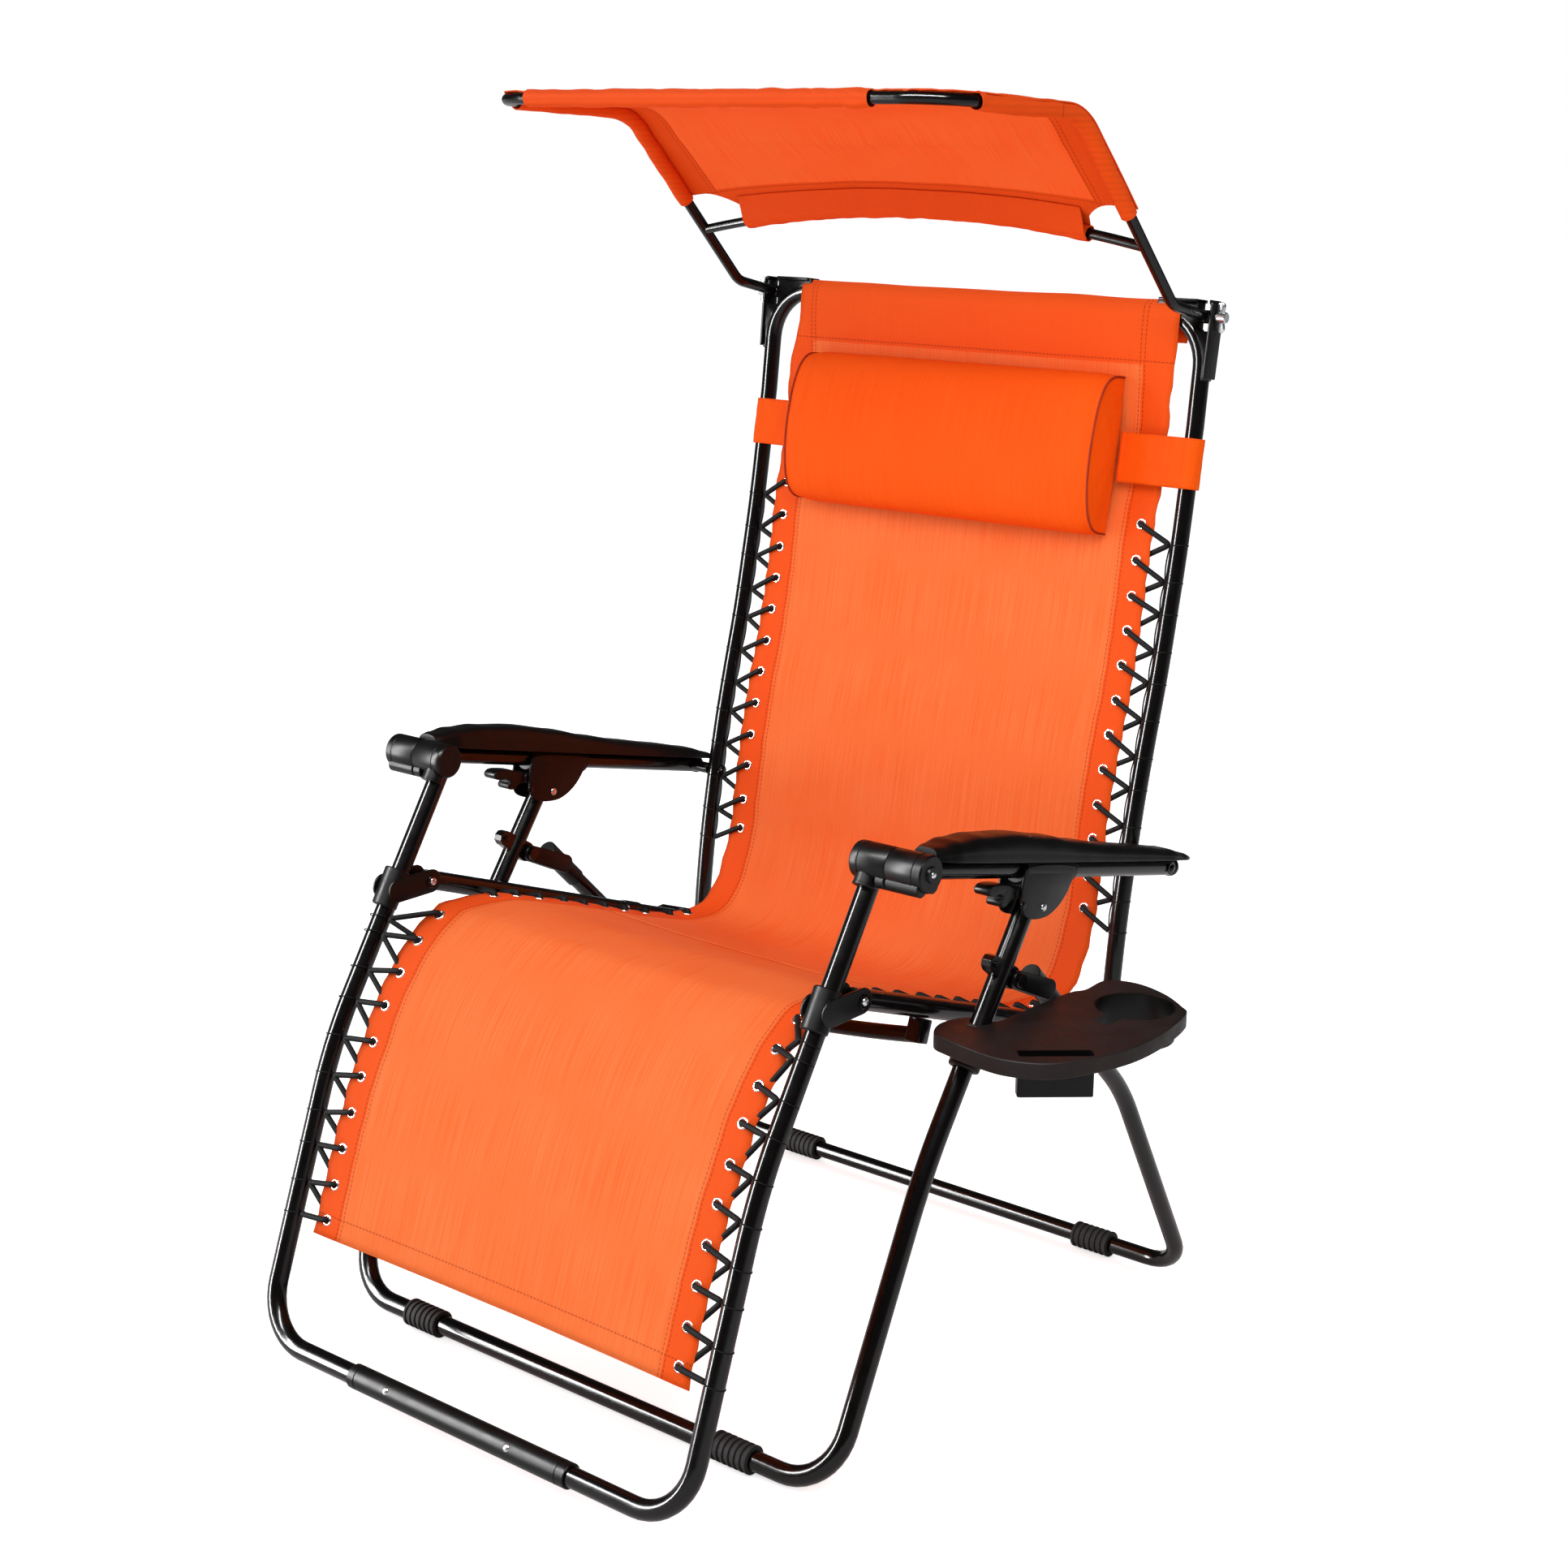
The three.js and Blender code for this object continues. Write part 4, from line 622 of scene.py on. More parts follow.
def link(a, b, ra, rb, x, steps=18):
    """Points of an outline round two circles in the side plane, all at the given x."""
    a, b = Vector(a), Vector(b)
    turn = math.atan2((b - a).y, (b - a).x)
    side = math.pi / 2 - math.asin((ra - rb) / (b - a).length)
    points = []
    for centre, radius, start, stop in (
        (b, rb, turn - side, turn + side), (a, ra, turn + side, turn + 2 * math.pi - side),
    ):
        for k in range(steps + 1):
            t = start + (stop - start) * k / steps
            points.append((x, centre.x + radius * math.cos(t), centre.y + radius * math.sin(t)))
    return points


def ridden(piece, body, slot, *nodes):
    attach(piece, body)
    if nodes:
        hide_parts(*nodes)
    return piece


def finish_node(name, material, bevel_mm):
    """Give a CAD node its material, and soften its edges."""
    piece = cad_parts[name]
    piece.data.materials.clear()
    piece.data.materials.append(material)
    modifier(piece, "WELD", merge_threshold=1e-5)
    modifier(piece, "BEVEL", width=mm(bevel_mm), segments=3, limit_method="ANGLE",
             angle_limit=math.radians(35))


def both(name):
    return [(name + "_left", 1), (name + "_right", -1)]


# Camera, as solved from the photograph
CAMERA_SPOT = (1.65857, -2.01547, 1.31403)
CAMERA_TURNS = (39.425, 14.458, 0.622)
CAMERA_LENS = 57.42


def set_camera():
    azimuth, pitch, roll = (math.radians(turn) for turn in CAMERA_TURNS)
    ahead = Vector((
        -math.sin(azimuth) * math.cos(pitch), math.cos(azimuth) * math.cos(pitch), -math.sin(pitch),
    ))
    right = Vector((math.cos(azimuth), math.sin(azimuth), 0))
    up = right.cross(ahead)
    side = right * math.cos(roll) + up * math.sin(roll)
    top = up * math.cos(roll) - right * math.sin(roll)
    camera = bpy.data.objects.new("camera", bpy.data.cameras.new("camera"))
    camera.data.sensor_width = 36
    camera.data.lens = CAMERA_LENS
    camera.data.clip_end = 50
    turn = Matrix((side, top, -ahead)).transposed()
    camera.matrix_world = Matrix.Translation(CAMERA_SPOT) @ turn.to_4x4()
    bpy.context.collection.objects.link(camera)
    bpy.context.scene.camera = camera


def set_world():
    """White to the camera, nearly dark in reflections, and a soft sky to everything else."""
    world = bpy.data.worlds.new("studio")
    bpy.context.scene.world = world
    world.use_nodes = True
    tree = world.node_tree
    tree.nodes.clear()
    rays = node(tree, "LightPath")
    soft = node(tree, "Background", {"Color": (0.93, 0.95, 1.0, 1), "Strength": 0.55})
    dark = node(tree, "Background", {"Color": (1, 1, 1, 1), "Strength": 0.05})
    white = node(tree, "Background", {"Color": (1, 1, 1, 1), "Strength": 1.0})
    lit = node(tree, "MixShader", {0: rays.outputs["Is Glossy Ray"], 1: soft, 2: dark})
    shown = node(tree, "MixShader", {0: rays.outputs["Is Camera Ray"], 1: lit, 2: white})
    node(tree, "OutputWorld", {0: shown})


def set_lamps():
    """Lamps that light the chair and can't be seen in it, and strips that only show as its gloss."""
    chair, underside = (0, 0, 0.6), (0, 0.0, 1.35)
    rows = (
        ("key", (2.2, -2.6, 3.2), chair, (2.2, 2.2), 90, (1.0, 0.98, 0.95)),
        ("fill", (-2.8, -1.8, 1.9), chair, (2.6, 2.6), 45, (0.96, 0.98, 1.0)),
        ("back", (-0.6, 3.0, 2.6), chair, (2.4, 2.4), 50, (1, 1, 1)),
        ("card", (0.05, -0.25, 0.85), underside, (0.9, 0.9), 1.0, (1.0, 0.92, 0.85)),
        ("strip_left", (-2.1, -2.2, 1.3), chair, (0.35, 3.0), 300, (1, 1, 1)),
        ("strip_top", (0.6, -1.6, 3.0), chair, (3.0, 0.25), 260, (1, 1, 1)),
    )
    for name, spot, target, size, power, colour in rows:
        lamp = bpy.data.lights.new(name, "AREA")
        lamp.shape = "RECTANGLE"
        lamp.size, lamp.size_y = size
        lamp.energy = power
        lamp.color = colour
        holder = bpy.data.objects.new(name, lamp)
        holder.location = spot
        aim = Vector(target) - Vector(spot)
        holder.rotation_euler = aim.to_track_quat("-Z", "Y").to_euler()
        holder.visible_camera = False
        holder.visible_diffuse = not name.startswith("strip")
        holder.visible_glossy = name.startswith("strip")
        bpy.context.collection.objects.link(holder)


def set_floor():
    deselect()
    bpy.ops.mesh.primitive_plane_add(size=60, location=(0, 0, -0.0005))
    material, tree, shader = new_material("studio_floor")
    rays = node(tree, "LightPath")
    glow = node(tree, "Math", {0: rays.outputs["Is Camera Ray"], 1: 0.62}, operation="MULTIPLY")
    plug(tree, shader, {
        "Base Color": (0.9, 0.9, 0.9, 1),
        "Roughness": 0.9,
        "Specular IOR Level": 0.1,
        "Emission Color": (1, 1, 1, 1),
        "Emission Strength": glow,
    })
    floor = take("studio_floor", material)


# Frame
def flat(point, x=0.0):
    return Vector((x, point[0], point[1]))


def between(a, b, distance):
    """The point at the given distance from a on the way to b."""
    a, b = Vector(a), Vector(b)
    return a + (b - a).normalized() * distance


def step_in(table, value):
    """The step of a rising table that holds the value, and the share of it that is passed."""
    k = max(1, next((i for i, item in enumerate(table) if item >= value), len(table) - 1))
    return k, (value - table[k - 1]) / (table[k] - table[k - 1])


def back_point(share):
    k, t = step_in(BACK_RISE, share)
    lean = BACK_LEAN[k - 1] + (BACK_LEAN[k] - BACK_LEAN[k - 1]) * t
    return HIP[0] + BACK_DEPTH * lean, HIP[1] + BACK_HEIGHT * share


def back_side_line():
    return smooth_line([(FRAME_HALF, *back_point(r)) for r in BACK_RISE[:-1]], 14)


def back_top():
    """The top bar's middle, the way up the back tube, and the way to the sitter's side."""
    bar = Vector((0, HIP[0] + BACK_DEPTH, HIP[1] + BACK_HEIGHT))
    up = (flat(back_point(1.0)) - flat(back_point(0.9))).normalized()
    return bar, up, square_to(up)


def make_base():
    for name, top, bend, bend_radius, bar, bar_radius, radius in (
        ("front_base", SLIDE, FRONT_BEND, 620, FRONT_BAR, 62, 11),
        ("rear_base", REAR_TOP, REAR_BEND, 250, REAR_BAR, 50, 10),
    ):
        corners = [(BASE_HALF, *top, 0), (BASE_HALF, *bend, bend_radius), (BASE_HALF, *bar, bar_radius)]
        ridden(tube(name + "_tube", bent(hoop(corners)), radius, powder_coat), name, "steel", name)
    for stem, body, middle, bar in (
        ("front_foot", "front_base", 230, FRONT_BAR), ("rear_foot", "rear_base", 228, REAR_BAR),
    ):
        for name, side in both(stem):
            ridden(ribbed_foot(name + "_rubber", side * middle, bar), body, "rubber", name)
    for name, side in both("cross_fork"):
        x = side * BASE_HALF
        start, end = (flat(between(REAR_TOP, REAR_BEND, far), x) for far in (-6, 62))
        parts = [rod("sleeve", start, end, 11.6, moulded, 1.0)]
        for edge in (-12.5, 6.3):
            outline = link(CROSS, between(REAR_TOP, REAR_BEND, 24), 9.6, 11.2, x + edge)
            parts.append(plate("ear", outline, (6.2, 0, 0), moulded, 1.2))
        ridden(join(parts, name + "_moulding"), "rear_base", "steel", name)
    rivets = []
    for side in (1, -1):
        for face in (1, -1):
            x = side * BASE_HALF + face * 12.6
            rivets.append(dome("rivet", (x, *CROSS), (face, 0, 0), 5.2, 3.2, nickel))
    ridden(join(rivets, "cross_rivets"), "front_base", "zinc")


def ribbed_foot(name, middle, bar):
    """A rubber sleeve with thirteen thin bands, each second one raised."""
    long, bands = 50, 13
    start = middle - long / 2
    rings = []
    for k in range(bands):
        radius = 15.6 if k % 2 == 0 else 14.0
        near, far = start + long * k / bands, start + long * (k + 1) / bands
        rings += [
            (near + 0.1, *bar, radius - 0.5), (near + 0.7, *bar, radius),
            (far - 0.7, *bar, radius), (far - 0.1, *bar, radius - 0.5),
        ]
    return turned(name, rings, foot_rubber, 44)


def make_back_frame():
    side = back_side_line()
    corners = [
        (FRAME_HALF, *back_point(BACK_RISE[-2]), 0),
        (FRAME_HALF, HIP[0] + BACK_DEPTH, HIP[1] + BACK_HEIGHT, 60),
    ]
    start = side[0] - (side[1] - side[0]).normalized() * 9
    left = [start] + side[:-1]
    line = left + bent(hoop(corners)) + [Vector((-p.x, p.y, p.z)) for p in reversed(left)]
    ridden(tube("back_frame_tube", line, 10, powder_coat), "back", "steel", "back_frame")
    bar, up, front = back_top()

    def corner_plate(name, side, outline, thick, bevel):
        """A plate across the corner: its outline is (x, height above the bar)."""
        ring = [bar + Vector((side * x, 0, 0)) + up * u - front * (thick / 2) for x, u in outline]
        return plate(name, ring, front * thick, moulded, bevel)

    # A web that squares off the corner outside the bend, and a lip along its two outer edges
    turns = [math.radians(90 * k / 10) for k in range(11)]
    arc = [(247 + 60 * math.sin(a), -60 + 60 * math.cos(a)) for a in turns]
    web = arc + [(307, -74), (316, -74), (318.5, -66), (319.5, 8), (314, 14.2), (250, 14.2), (247, 10)]
    lip = [
        (250, 10.5), (314, 10.5), (316.5, 8), (315, -70), (318.5, -72), (320.6, 10), (315, 14.2),
        (250, 14.2),
    ]
    # The slot that lets the hoop's eye swing
    slot = [(298.6, -20), (315.4, -20), (315.4, 40), (298.6, 40)]
    for name, side in both("back_corner"):
        parts = [corner_plate("web", side, web, 17, 1.4), corner_plate("rim", side, lip, 25, 1.2)]
        for piece in parts:
            cut_away(piece, corner_plate("cut", side, slot, 80, 0))
        ridden(join(parts, name + "_moulding"), "back", "plastic", name)


def make_leg_frame():
    line = bent(hoop([
        (FRAME_HALF, HUB[0], HUB[1] - 14, 0), (FRAME_HALF, *LEG_BEND, LEG_BEND_RADIUS),
        (FRAME_HALF, *LEG_BAR, 62),
    ]))
    ridden(tube("leg_frame_tube", line, 10.8, powder_coat), "leg_rest", "steel", "leg_frame")
    half = [(147, 13.4), (147.6, 12.7), (149.4, 12.7), (150, 13.4), (159, 13.4), (160, 12.6)]
    profile = [(-x, radius) for x, radius in reversed(half)] + half
    grip = turned("leg_bar_grip", [(x, *LEG_BAR, radius) for x, radius in profile], moulded)
    ridden(grip, "leg_rest", "plastic", "leg_bar_sleeve")
    facing = Vector((0, -0.84, 0.54))
    studs = [
        dome("stud", flat(LEG_BAR, x) + facing * 13.1, facing, 4.2, 2.0, nickel) for x in (-100, 80)
    ]
    ridden(join(studs, "leg_bar_rivets"), "leg_rest", "zinc")
    for name, side in both("knee_bracket"):
        x = side * FRAME_HALF
        parts = [rod("sleeve", flat(knee_point(521), x), flat(knee_point(483), x), 14.4, moulded, 1.4)]
        for edge in (-14.6, 11.6):
            outline = link(KNEE, knee_point(502), 13.4, 14.2, x + edge)
            parts.append(plate("cheek", outline, (3, 0, 0), moulded, 0.9))
        ridden(join(parts, name + "_moulding"), "leg_rest", "plastic", name)
    profile = (
        (290, 16.4), (291.6, 18.5), (292.8, 19), (300, 19), (300.6, 18.3), (302, 18.3), (302.6, 19),
        (332.5, 19), (333.7, 18.2),
    )
    for name, side in both("arm_hub"):
        barrel = pivot_barrel(name + "_barrel", side, profile, knee_point(521), FRAME_HALF, (322, 333))
        ridden(barrel, "leg_rest", "plastic", name)


def knee_point(z):
    """The leg frame's middle line at the given height, above its bend."""
    t = (z - LEG_BEND[1]) / (HUB[1] - LEG_BEND[1])
    return LEG_BEND[0] + (HUB[0] - LEG_BEND[0]) * t, z


def pivot_barrel(name, side, profile, toward, socket_x, lobe_span):
    """One half of the front pivot: a barrel across, a socket for its tube and two lobes below."""
    parts = [turned("barrel", [(side * x, *HUB, radius) for x, radius in profile], moulded, 48)]
    way = (Vector(toward) - Vector(HUB)).normalized()
    rings = [
        (side * socket_x, *(Vector(HUB) + way * far), radius)
        for far, radius in ((6, 12.0), (24, 12.0), (24.6, 12.6), (26.4, 12.6), (27, 12.0))
    ]
    parts.append(turned("socket", rings, moulded))
    for turn in (-124, -56):
        a = math.radians(turn)
        spot = (HUB[0] + 16.5 * math.cos(a), HUB[1] + 16.5 * math.sin(a))
        start, end = ((side * x, *spot) for x in lobe_span)
        parts.append(rod("lobe", start, end, 8.5, moulded, 1.0, 28))
    return join(parts, name)


# Seat
def make_seat_frame():
    pivot = Vector(KNEE).lerp(Vector(HIP), SEAT_PIVOT_SHARE)
    for name, side in both("seat_rail"):
        x = side * FRAME_HALF
        rail = tube("rail", [flat(KNEE, x), flat(between(HIP, KNEE, 33), x)], 11, powder_coat)
        start, end = flat(between(pivot, KNEE, 14), x), flat(between(pivot, HIP, 14), x)
        saddle = rod("saddle", start, end, 12.4, powder_coat, 0.6)
        ridden(join([rail, saddle], name + "_tube"), "seat", "steel", name)
    fall = (Vector(HIP) - Vector(KNEE)).normalized()
    down = Vector((fall.y, -fall.x))
    middle = Vector(KNEE).lerp(Vector(HIP), 0.25)
    level = middle + down * 28
    points = []
    for k in range(41):
        s = k / 20 - 1
        points.append(flat(level + down * 26 * (1 - s * s), s * 312))
    parts = [tube("bow", points, 8.4, powder_coat, 24)]
    near, low = middle + down * 11.2, level + down * 8.4
    for side in (1, -1):
        outline = [
            flat(spot, side * FRAME_HALF - 9)
            for spot in (near - fall * 9, near + fall * 9, low + fall * 9, low - fall * 9)
        ]
        parts.append(plate("tab", outline, (18, 0, 0), powder_coat, 1.5))
    ridden(join(parts, "seat_crossbar_tube"), "seat", "steel", "seat_crossbar")
    for name, _ in both("hip_bracket"):
        finish_node(name, powder_coat, 1.0)


def make_pins():
    """Each pivot's dark washers and rivet heads, with a spacer where the tubes stand apart."""
    pivot = tuple(Vector(KNEE).lerp(Vector(HIP), SEAT_PIVOT_SHARE))
    rows = (
        ("knee_pin", "seat", KNEE, FRAME_HALF - 14.9, FRAME_HALF + 14.9, None),
        ("hip_pin", "seat", HIP, FRAME_HALF - 14.9, FRAME_HALF + 14.9, None),
        ("seat_pin", "rear_base", pivot, FRAME_HALF - 14.3, BASE_HALF + 10.3, 14.3),
        ("arm_pin", "back", ARM, FRAME_HALF - 10.3, BASE_HALF + 10.3, 10.3),
    )
    thick = 1.4
    for stem, body, spot, inner, outer, gap in rows:
        finish, slot = (powder_coat, "steel") if stem == "arm_pin" else (nickel, "zinc")
        for name, side in both(stem):
            parts, heads = [], []
            for x, face in ((inner, -1), (outer, 1)):
                near, far = (side * x, *spot), (side * (x + face * thick), *spot)
                parts.append(rod("washer", near, far, 7.6, powder_coat, 0.4, 28))
                heads.append(dome("head", far, (side * face, 0, 0), 4.3, 2.4, finish))
            if gap:
                ends = [(side * x, *spot) for x in (FRAME_HALF + gap, BASE_HALF - 10.3)]
                parts.append(rod("spacer", *ends, 7, powder_coat, 0.5, 28))
            ridden(join(parts, name + "_washers"), body, "steel", name)
            ridden(join(heads, name + "_heads"), body, slot)


# Arms
def on_rail(along, above=0):
    """A spot in the side plane, measured from the hub along the arm rail and above it."""
    run = (Vector(ARM) - Vector(HUB)).normalized()
    rise = Vector((-run.y, run.x))
    return Vector(HUB) + run * along + rise * above


def slider_reach():
    run = (Vector(ARM) - Vector(HUB)).normalized()
    return (Vector(SLIDE) - Vector(HUB)).dot(run)


def make_arms():
    end = (Vector(ARM) - Vector(HUB)).length + 13
    for name, side in both("arm_rail"):
        start, stop, low, high = (
            flat(on_rail(along), side * BASE_HALF) for along in (19.3, end, end - 2, end + 5)
        )
        parts = [tube("rail", [start, stop], 9.9, powder_coat), rod("cap", low, high, 10.6, moulded, 1.6)]
        ridden(join(parts, name + "_tube"), "arms", "steel", name)
    profile = (
        (334.3, 18.2), (335.5, 19), (366, 19), (366.6, 18.3), (368, 18.3), (368.6, 19), (376.2, 19),
        (378, 17.4), (378.01, 8.5), (380.3, 7.8),
    )
    for name, side in both("arm_knuckle"):
        barrel = pivot_barrel(name + "_barrel", side, profile, ARM, BASE_HALF, (334.5, 374))
        ridden(barrel, "arms", "plastic", name)
        bolt = dome(name + "_bolt", (side * 380.4, *HUB), (side, 0, 0), 3.4, 1.6, nickel)
        ridden(bolt, "arms", "zinc")
    for name, side in both("arm_pad"):
        ridden(arm_pad(name + "_rest", side), "arms", "plastic", name)
    for (slider, side), (lever, _) in zip(both("lock_slider"), both("lock_lever")):
        ridden(lock_slider(slider + "_moulding", side), "lock_sliders", "plastic", slider)
        ridden(lock_lever(lever + "_paddle", side), lever, "plastic", lever)


def arm_pad(name, side):
    """A moulded rest: a low lip all round and a crowned top that thins towards the tail."""
    long, half_wide, high_most = 496, 24, 28
    along = (0, 0.02, 0.07, 0.15, 0.27, 0.4, 0.52, 0.63, 0.77, 0.9, 0.97, 1)
    high = (0.42, 0.52, 0.74, 0.92, 1, 0.9, 0.72, 0.6, 0.52, 0.42, 0.26, 0.16)
    wide = (0.6, 0.8, 0.96, 1, 1, 1, 0.98, 0.96, 0.94, 0.9, 0.78, 0.56)

    def share(table, t):
        k, f = step_in(along, t)
        f = f * f * (3 - 2 * f)
        return table[k - 1] + (table[k] - table[k - 1]) * f

    def shape(u, v):
        t = unit((v - 0.01) / 0.98)
        at_end = v in (0.0, 1.0)
        w = half_wide * share(wide, t) * (0.05 if at_end else 1)
        h = high_most * share(high, t) * (0.6 if at_end else 1)
        c, s = math.cos(2 * math.pi * u), math.sin(2 * math.pi * u)
        x = w * math.copysign(abs(c) ** 0.5, c)
        z = h * s ** 0.85 if s > 0 else -0.2 * abs(s)
        # A groove above the lip, and a top that stands a little inside it
        if 0.14 < s < 0.32:
            x *= 0.965
        elif s >= 0.32:
            x *= 0.975
        spot = on_rail(20.5 + long * t, 10.6 + z)
        return place(side * BASE_HALF + x, spot.x, spot.y), (mm(x), mm(z))

    made = grid(name, 56, 100, shape, moulded)
    seal(made, 0.0002, fill=True)
    smooth(made, 45)
    return made


def lock_slider(name, side):
    """A collar on the rail with two cheeks below it, held by rivets."""
    reach = slider_reach()
    x = side * BASE_HALF
    collar = [flat(on_rail(reach + s), x) for s in (-34, 62)]
    parts = [rod("collar", *collar, 15.6, moulded, 1.6)]
    outline = [
        (-34, 4), (-38, -8), (-38, -22), (-35, -36), (-28, -46), (-14, -50), (2, -50), (20, -46),
        (37, -35), (49, -20), (56, -3), (52, 5), (10, 7),
    ]
    for edge in (-15.4, 12.4):
        ring = closed_line([flat(on_rail(reach + s, u), x + edge) for s, u in outline], 4)
        parts.append(plate("cheek", ring, (3, 0, 0), moulded, 0.9))
    for s, u, finish in ((-34, -36, moulded), (6, -38, nickel)):
        for face in (1, -1):
            spot = flat(on_rail(reach + s, u), x + face * 15.3)
            parts.append(dome("rivet", spot, (face, 0, 0), 4.6, 2.2, finish))
    return join(parts, name)


def lock_lever(name, side):
    """A hooked paddle on its hinge in front of the slider."""
    reach = slider_reach()
    x = side * BASE_HALF
    hinge = [flat(on_rail(reach - 37, -23), x + edge) for edge in (-12, 12)]
    hook = [
        (-31, -19), (-44, -18), (-58, -15), (-74, -14.5), (-86, -16), (-91, -21), (-88, -26), (-79, -27),
        (-70, -25), (-64, -28), (-66, -34), (-62, -38), (-54, -37), (-47, -31), (-37, -29), (-31, -25),
    ]
    ring = closed_line([flat(on_rail(reach + s, u), x - 9.6) for s, u in hook], 4)
    parts = [rod("hinge", *hinge, 6, moulded, 0.8, 28), plate("paddle", ring, (19.2, 0, 0), moulded, 1.6)]
    return join(parts, name)


# Tray
def tray_outline(inset, z):
    x_shares = (
        -0.88, -1, -0.88, -0.57, -0.54, -0.5, -0.42, -0.42, -0.1, 0.33, 0.71, 0.86, 0.98, 1, 0.86, 0.6,
        0.2, -0.2, -0.64,
    )
    y_shares = (
        -0.88, -0.68, -0.46, -0.4, 0, 0.48, 0.62, 0.9, 1, 0.93, 0.77, 0.66, 0.28, -0.15, -0.54, -0.86,
        -1, -1, -0.94,
    )
    half_x, half_y = (half - inset for half in TRAY_HALF)
    points = [
        (TRAY_CENTRE[0] + half_x * a, TRAY_CENTRE[1] + half_y * b, z) for a, b in zip(x_shares, y_shares)
    ]
    return closed_line(points, 6)


def phone_slot(name, long, wide, z, high, material, bevel_mm, soft=3.0):
    """A block with the outline of the slot for a phone."""
    turn = math.radians(PHONE_SLOT_TURN)
    c, s = math.cos(turn), math.sin(turn)
    ring = []
    for a, b, start in ((1, 1, 0), (-1, 1, 90), (-1, -1, 180), (1, -1, 270)):
        for k in range(5):
            t = math.radians(start + 22.5 * k)
            u = a * (long / 2 - soft) + soft * math.cos(t)
            v = b * (wide / 2 - soft) + soft * math.sin(t)
            ring.append((PHONE_SLOT[0] + u * c - v * s, PHONE_SLOT[1] + u * s + v * c, z))
    return plate(name, ring, (0, 0, high), material, bevel_mm)


def block(name, x_low, x_high, y_low, y_high, z, high, bevel_mm=0):
    ring = [(x_low, y_low, z), (x_high, y_low, z), (x_high, y_high, z), (x_low, y_high, z)]
    return plate(name, ring, (0, 0, high), tray_plastic, bevel_mm)


def make_tray():
    def cup(name, radius, low, high, material, ease):
        return rod(name, (*CUP, low), (*CUP, high), radius, material, ease, 72)

    def leg_at(z):
        lower, upper = Vector(FRONT_BEND), Vector(SLIDE)
        return flat(lower.lerp(upper, (z - lower.y) / (upper.y - lower.y)), BASE_HALF)

    top = plate("tray_top", tray_outline(0.6, 429.4), (0, 0, 17.6), tray_plastic, 1.6)
    cut_away(top, plate("tray_hollow", tray_outline(3.4, 400), (0, 0, 44), tray_plastic, 0))
    pocket = phone_slot("tray_pocket", 76, 18, 404, 42.7, moulded, 0.4)
    # The cup ring is near-black moulded plastic, darker than the tray: painted shade for the dark inside
    # of the cup hole
    shaded_well = cup("tray_well_painted_shade", CUP_RING_RADIUS, 413, 446.6, moulded, 0.2)
    merged(top, "UNION", block("tray_notch", 435, 459, 227, 262, 430, 15.4, 0.6))
    cut_away(top, phone_slot("cut", 76, 18, 380, 90, tray_plastic, 0))
    cut_away(top, cup("cut", CUP_RING_RADIUS, 380, 470, tray_plastic, 0.1))
    for piece in (top, shaded_well):
        cut_away(piece, block("cut", 436.5, 457.5, 231, 262, 400, 80))
    cut_away(shaded_well, cup("cut", CUP_RADIUS, 380, 470, moulded, 0.1))
    cut_away(pocket, phone_slot("cut", 74, 16, 407, 60, moulded, 0))
    clamp = rod("clamp", leg_at(403.5), leg_at(440), 16.6, tray_plastic, 1.4)
    cut_away(clamp, rod("cut", leg_at(380), leg_at(470), 11.3, tray_plastic, 0.1))
    cut_away(top, rod("cut", leg_at(380), leg_at(480), 11.3, tray_plastic, 0.1))
    made = join([top, clamp, shaded_well, pocket], "side_tray")
    ease_edges(made, 0.5, 2, 50)
    smooth(made, 35)
    worked(made, "WEIGHTED_NORMAL", keep_sharp=True, weight=90)
    ridden(made, "front_base", "tray", "tray")


# Sling
def bar_wrap():
    """The hem's way round the top bar, from its front over the top and down behind."""
    bar, up, front = back_top()
    reach = 11.6
    turns = [math.radians(a) for a in range(0, 181, 15)]
    wrap = [bar + front * reach * math.cos(a) + up * reach * math.sin(a) for a in turns]
    ahead = [
        bar + front * (reach - lift) - up * down
        for down, lift in ((95, 8), (62, 4.5), (38, 1.8), (18, 0.3))
    ]
    behind = [bar - front * (reach - lift) - up * down for down, lift in ((16, 0), (34, 2.4))]
    return ahead + wrap + behind


def sling_line():
    """The cloth's side line from the floor end to the head end, in the side plane."""
    low = [(-203, 150)] + LEG_EYES[::-1]
    seat = [(0, 481)] + SEAT_EYES + [(429, 378), (456, 393), (474, 420)]
    head = [back_point(s) for s in (0.76, 0.82)]
    return [flat(p) for p in low + seat + BACK_EYES[::-1] + head] + bar_wrap()


def sling_piece(name, line, lengths, nodes, finish):
    count = len(line) - 1
    normals = [square_to(heading(line, i)) for i in range(len(line))]

    def shape(u, v):
        k = min(count, round(v * count))
        high, far = line[k].z, lengths[k]
        near_top = unit((high - 1040) / 60)
        x = (u * 2 - 1) * SLING_HALF * (1 - 0.022 * near_top) + 11 * near_top
        across = abs(x) / EYELET_HALF
        sag = 7.0 * max(0.0, 1 - across ** 2) * unit((1100 - high) / 90)
        wave = noise.noise(Vector((x / 90, far / 140, 3.0))) * 1.6
        # Creases where the cloth bends at the hip
        bend = math.exp(-((line[k] - flat(HIP)).length / 120) ** 2) * min(1.0, (1.2 - across) / 0.4)
        wave += 5.0 * bend * noise.noise(Vector((x / 42 + far / 60, far / 240, 7.0)))
        edge = 1.0
        if across > 0.85:
            scallop = 0.5 - 0.5 * math.cos(far / 40 * 2 * math.pi)
            edge = 1 - 0.008 * (1 - near_top) * scallop * (across - 0.85) / 0.2
        p = line[k] - normals[k] * (sag + wave)
        return place(x * edge, p.y, p.z), (mm(x), mm(far))

    piece = grid(name, 56, count, shape, finish)
    thicken(piece, 1.4)
    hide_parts(*nodes)
    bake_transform(piece)


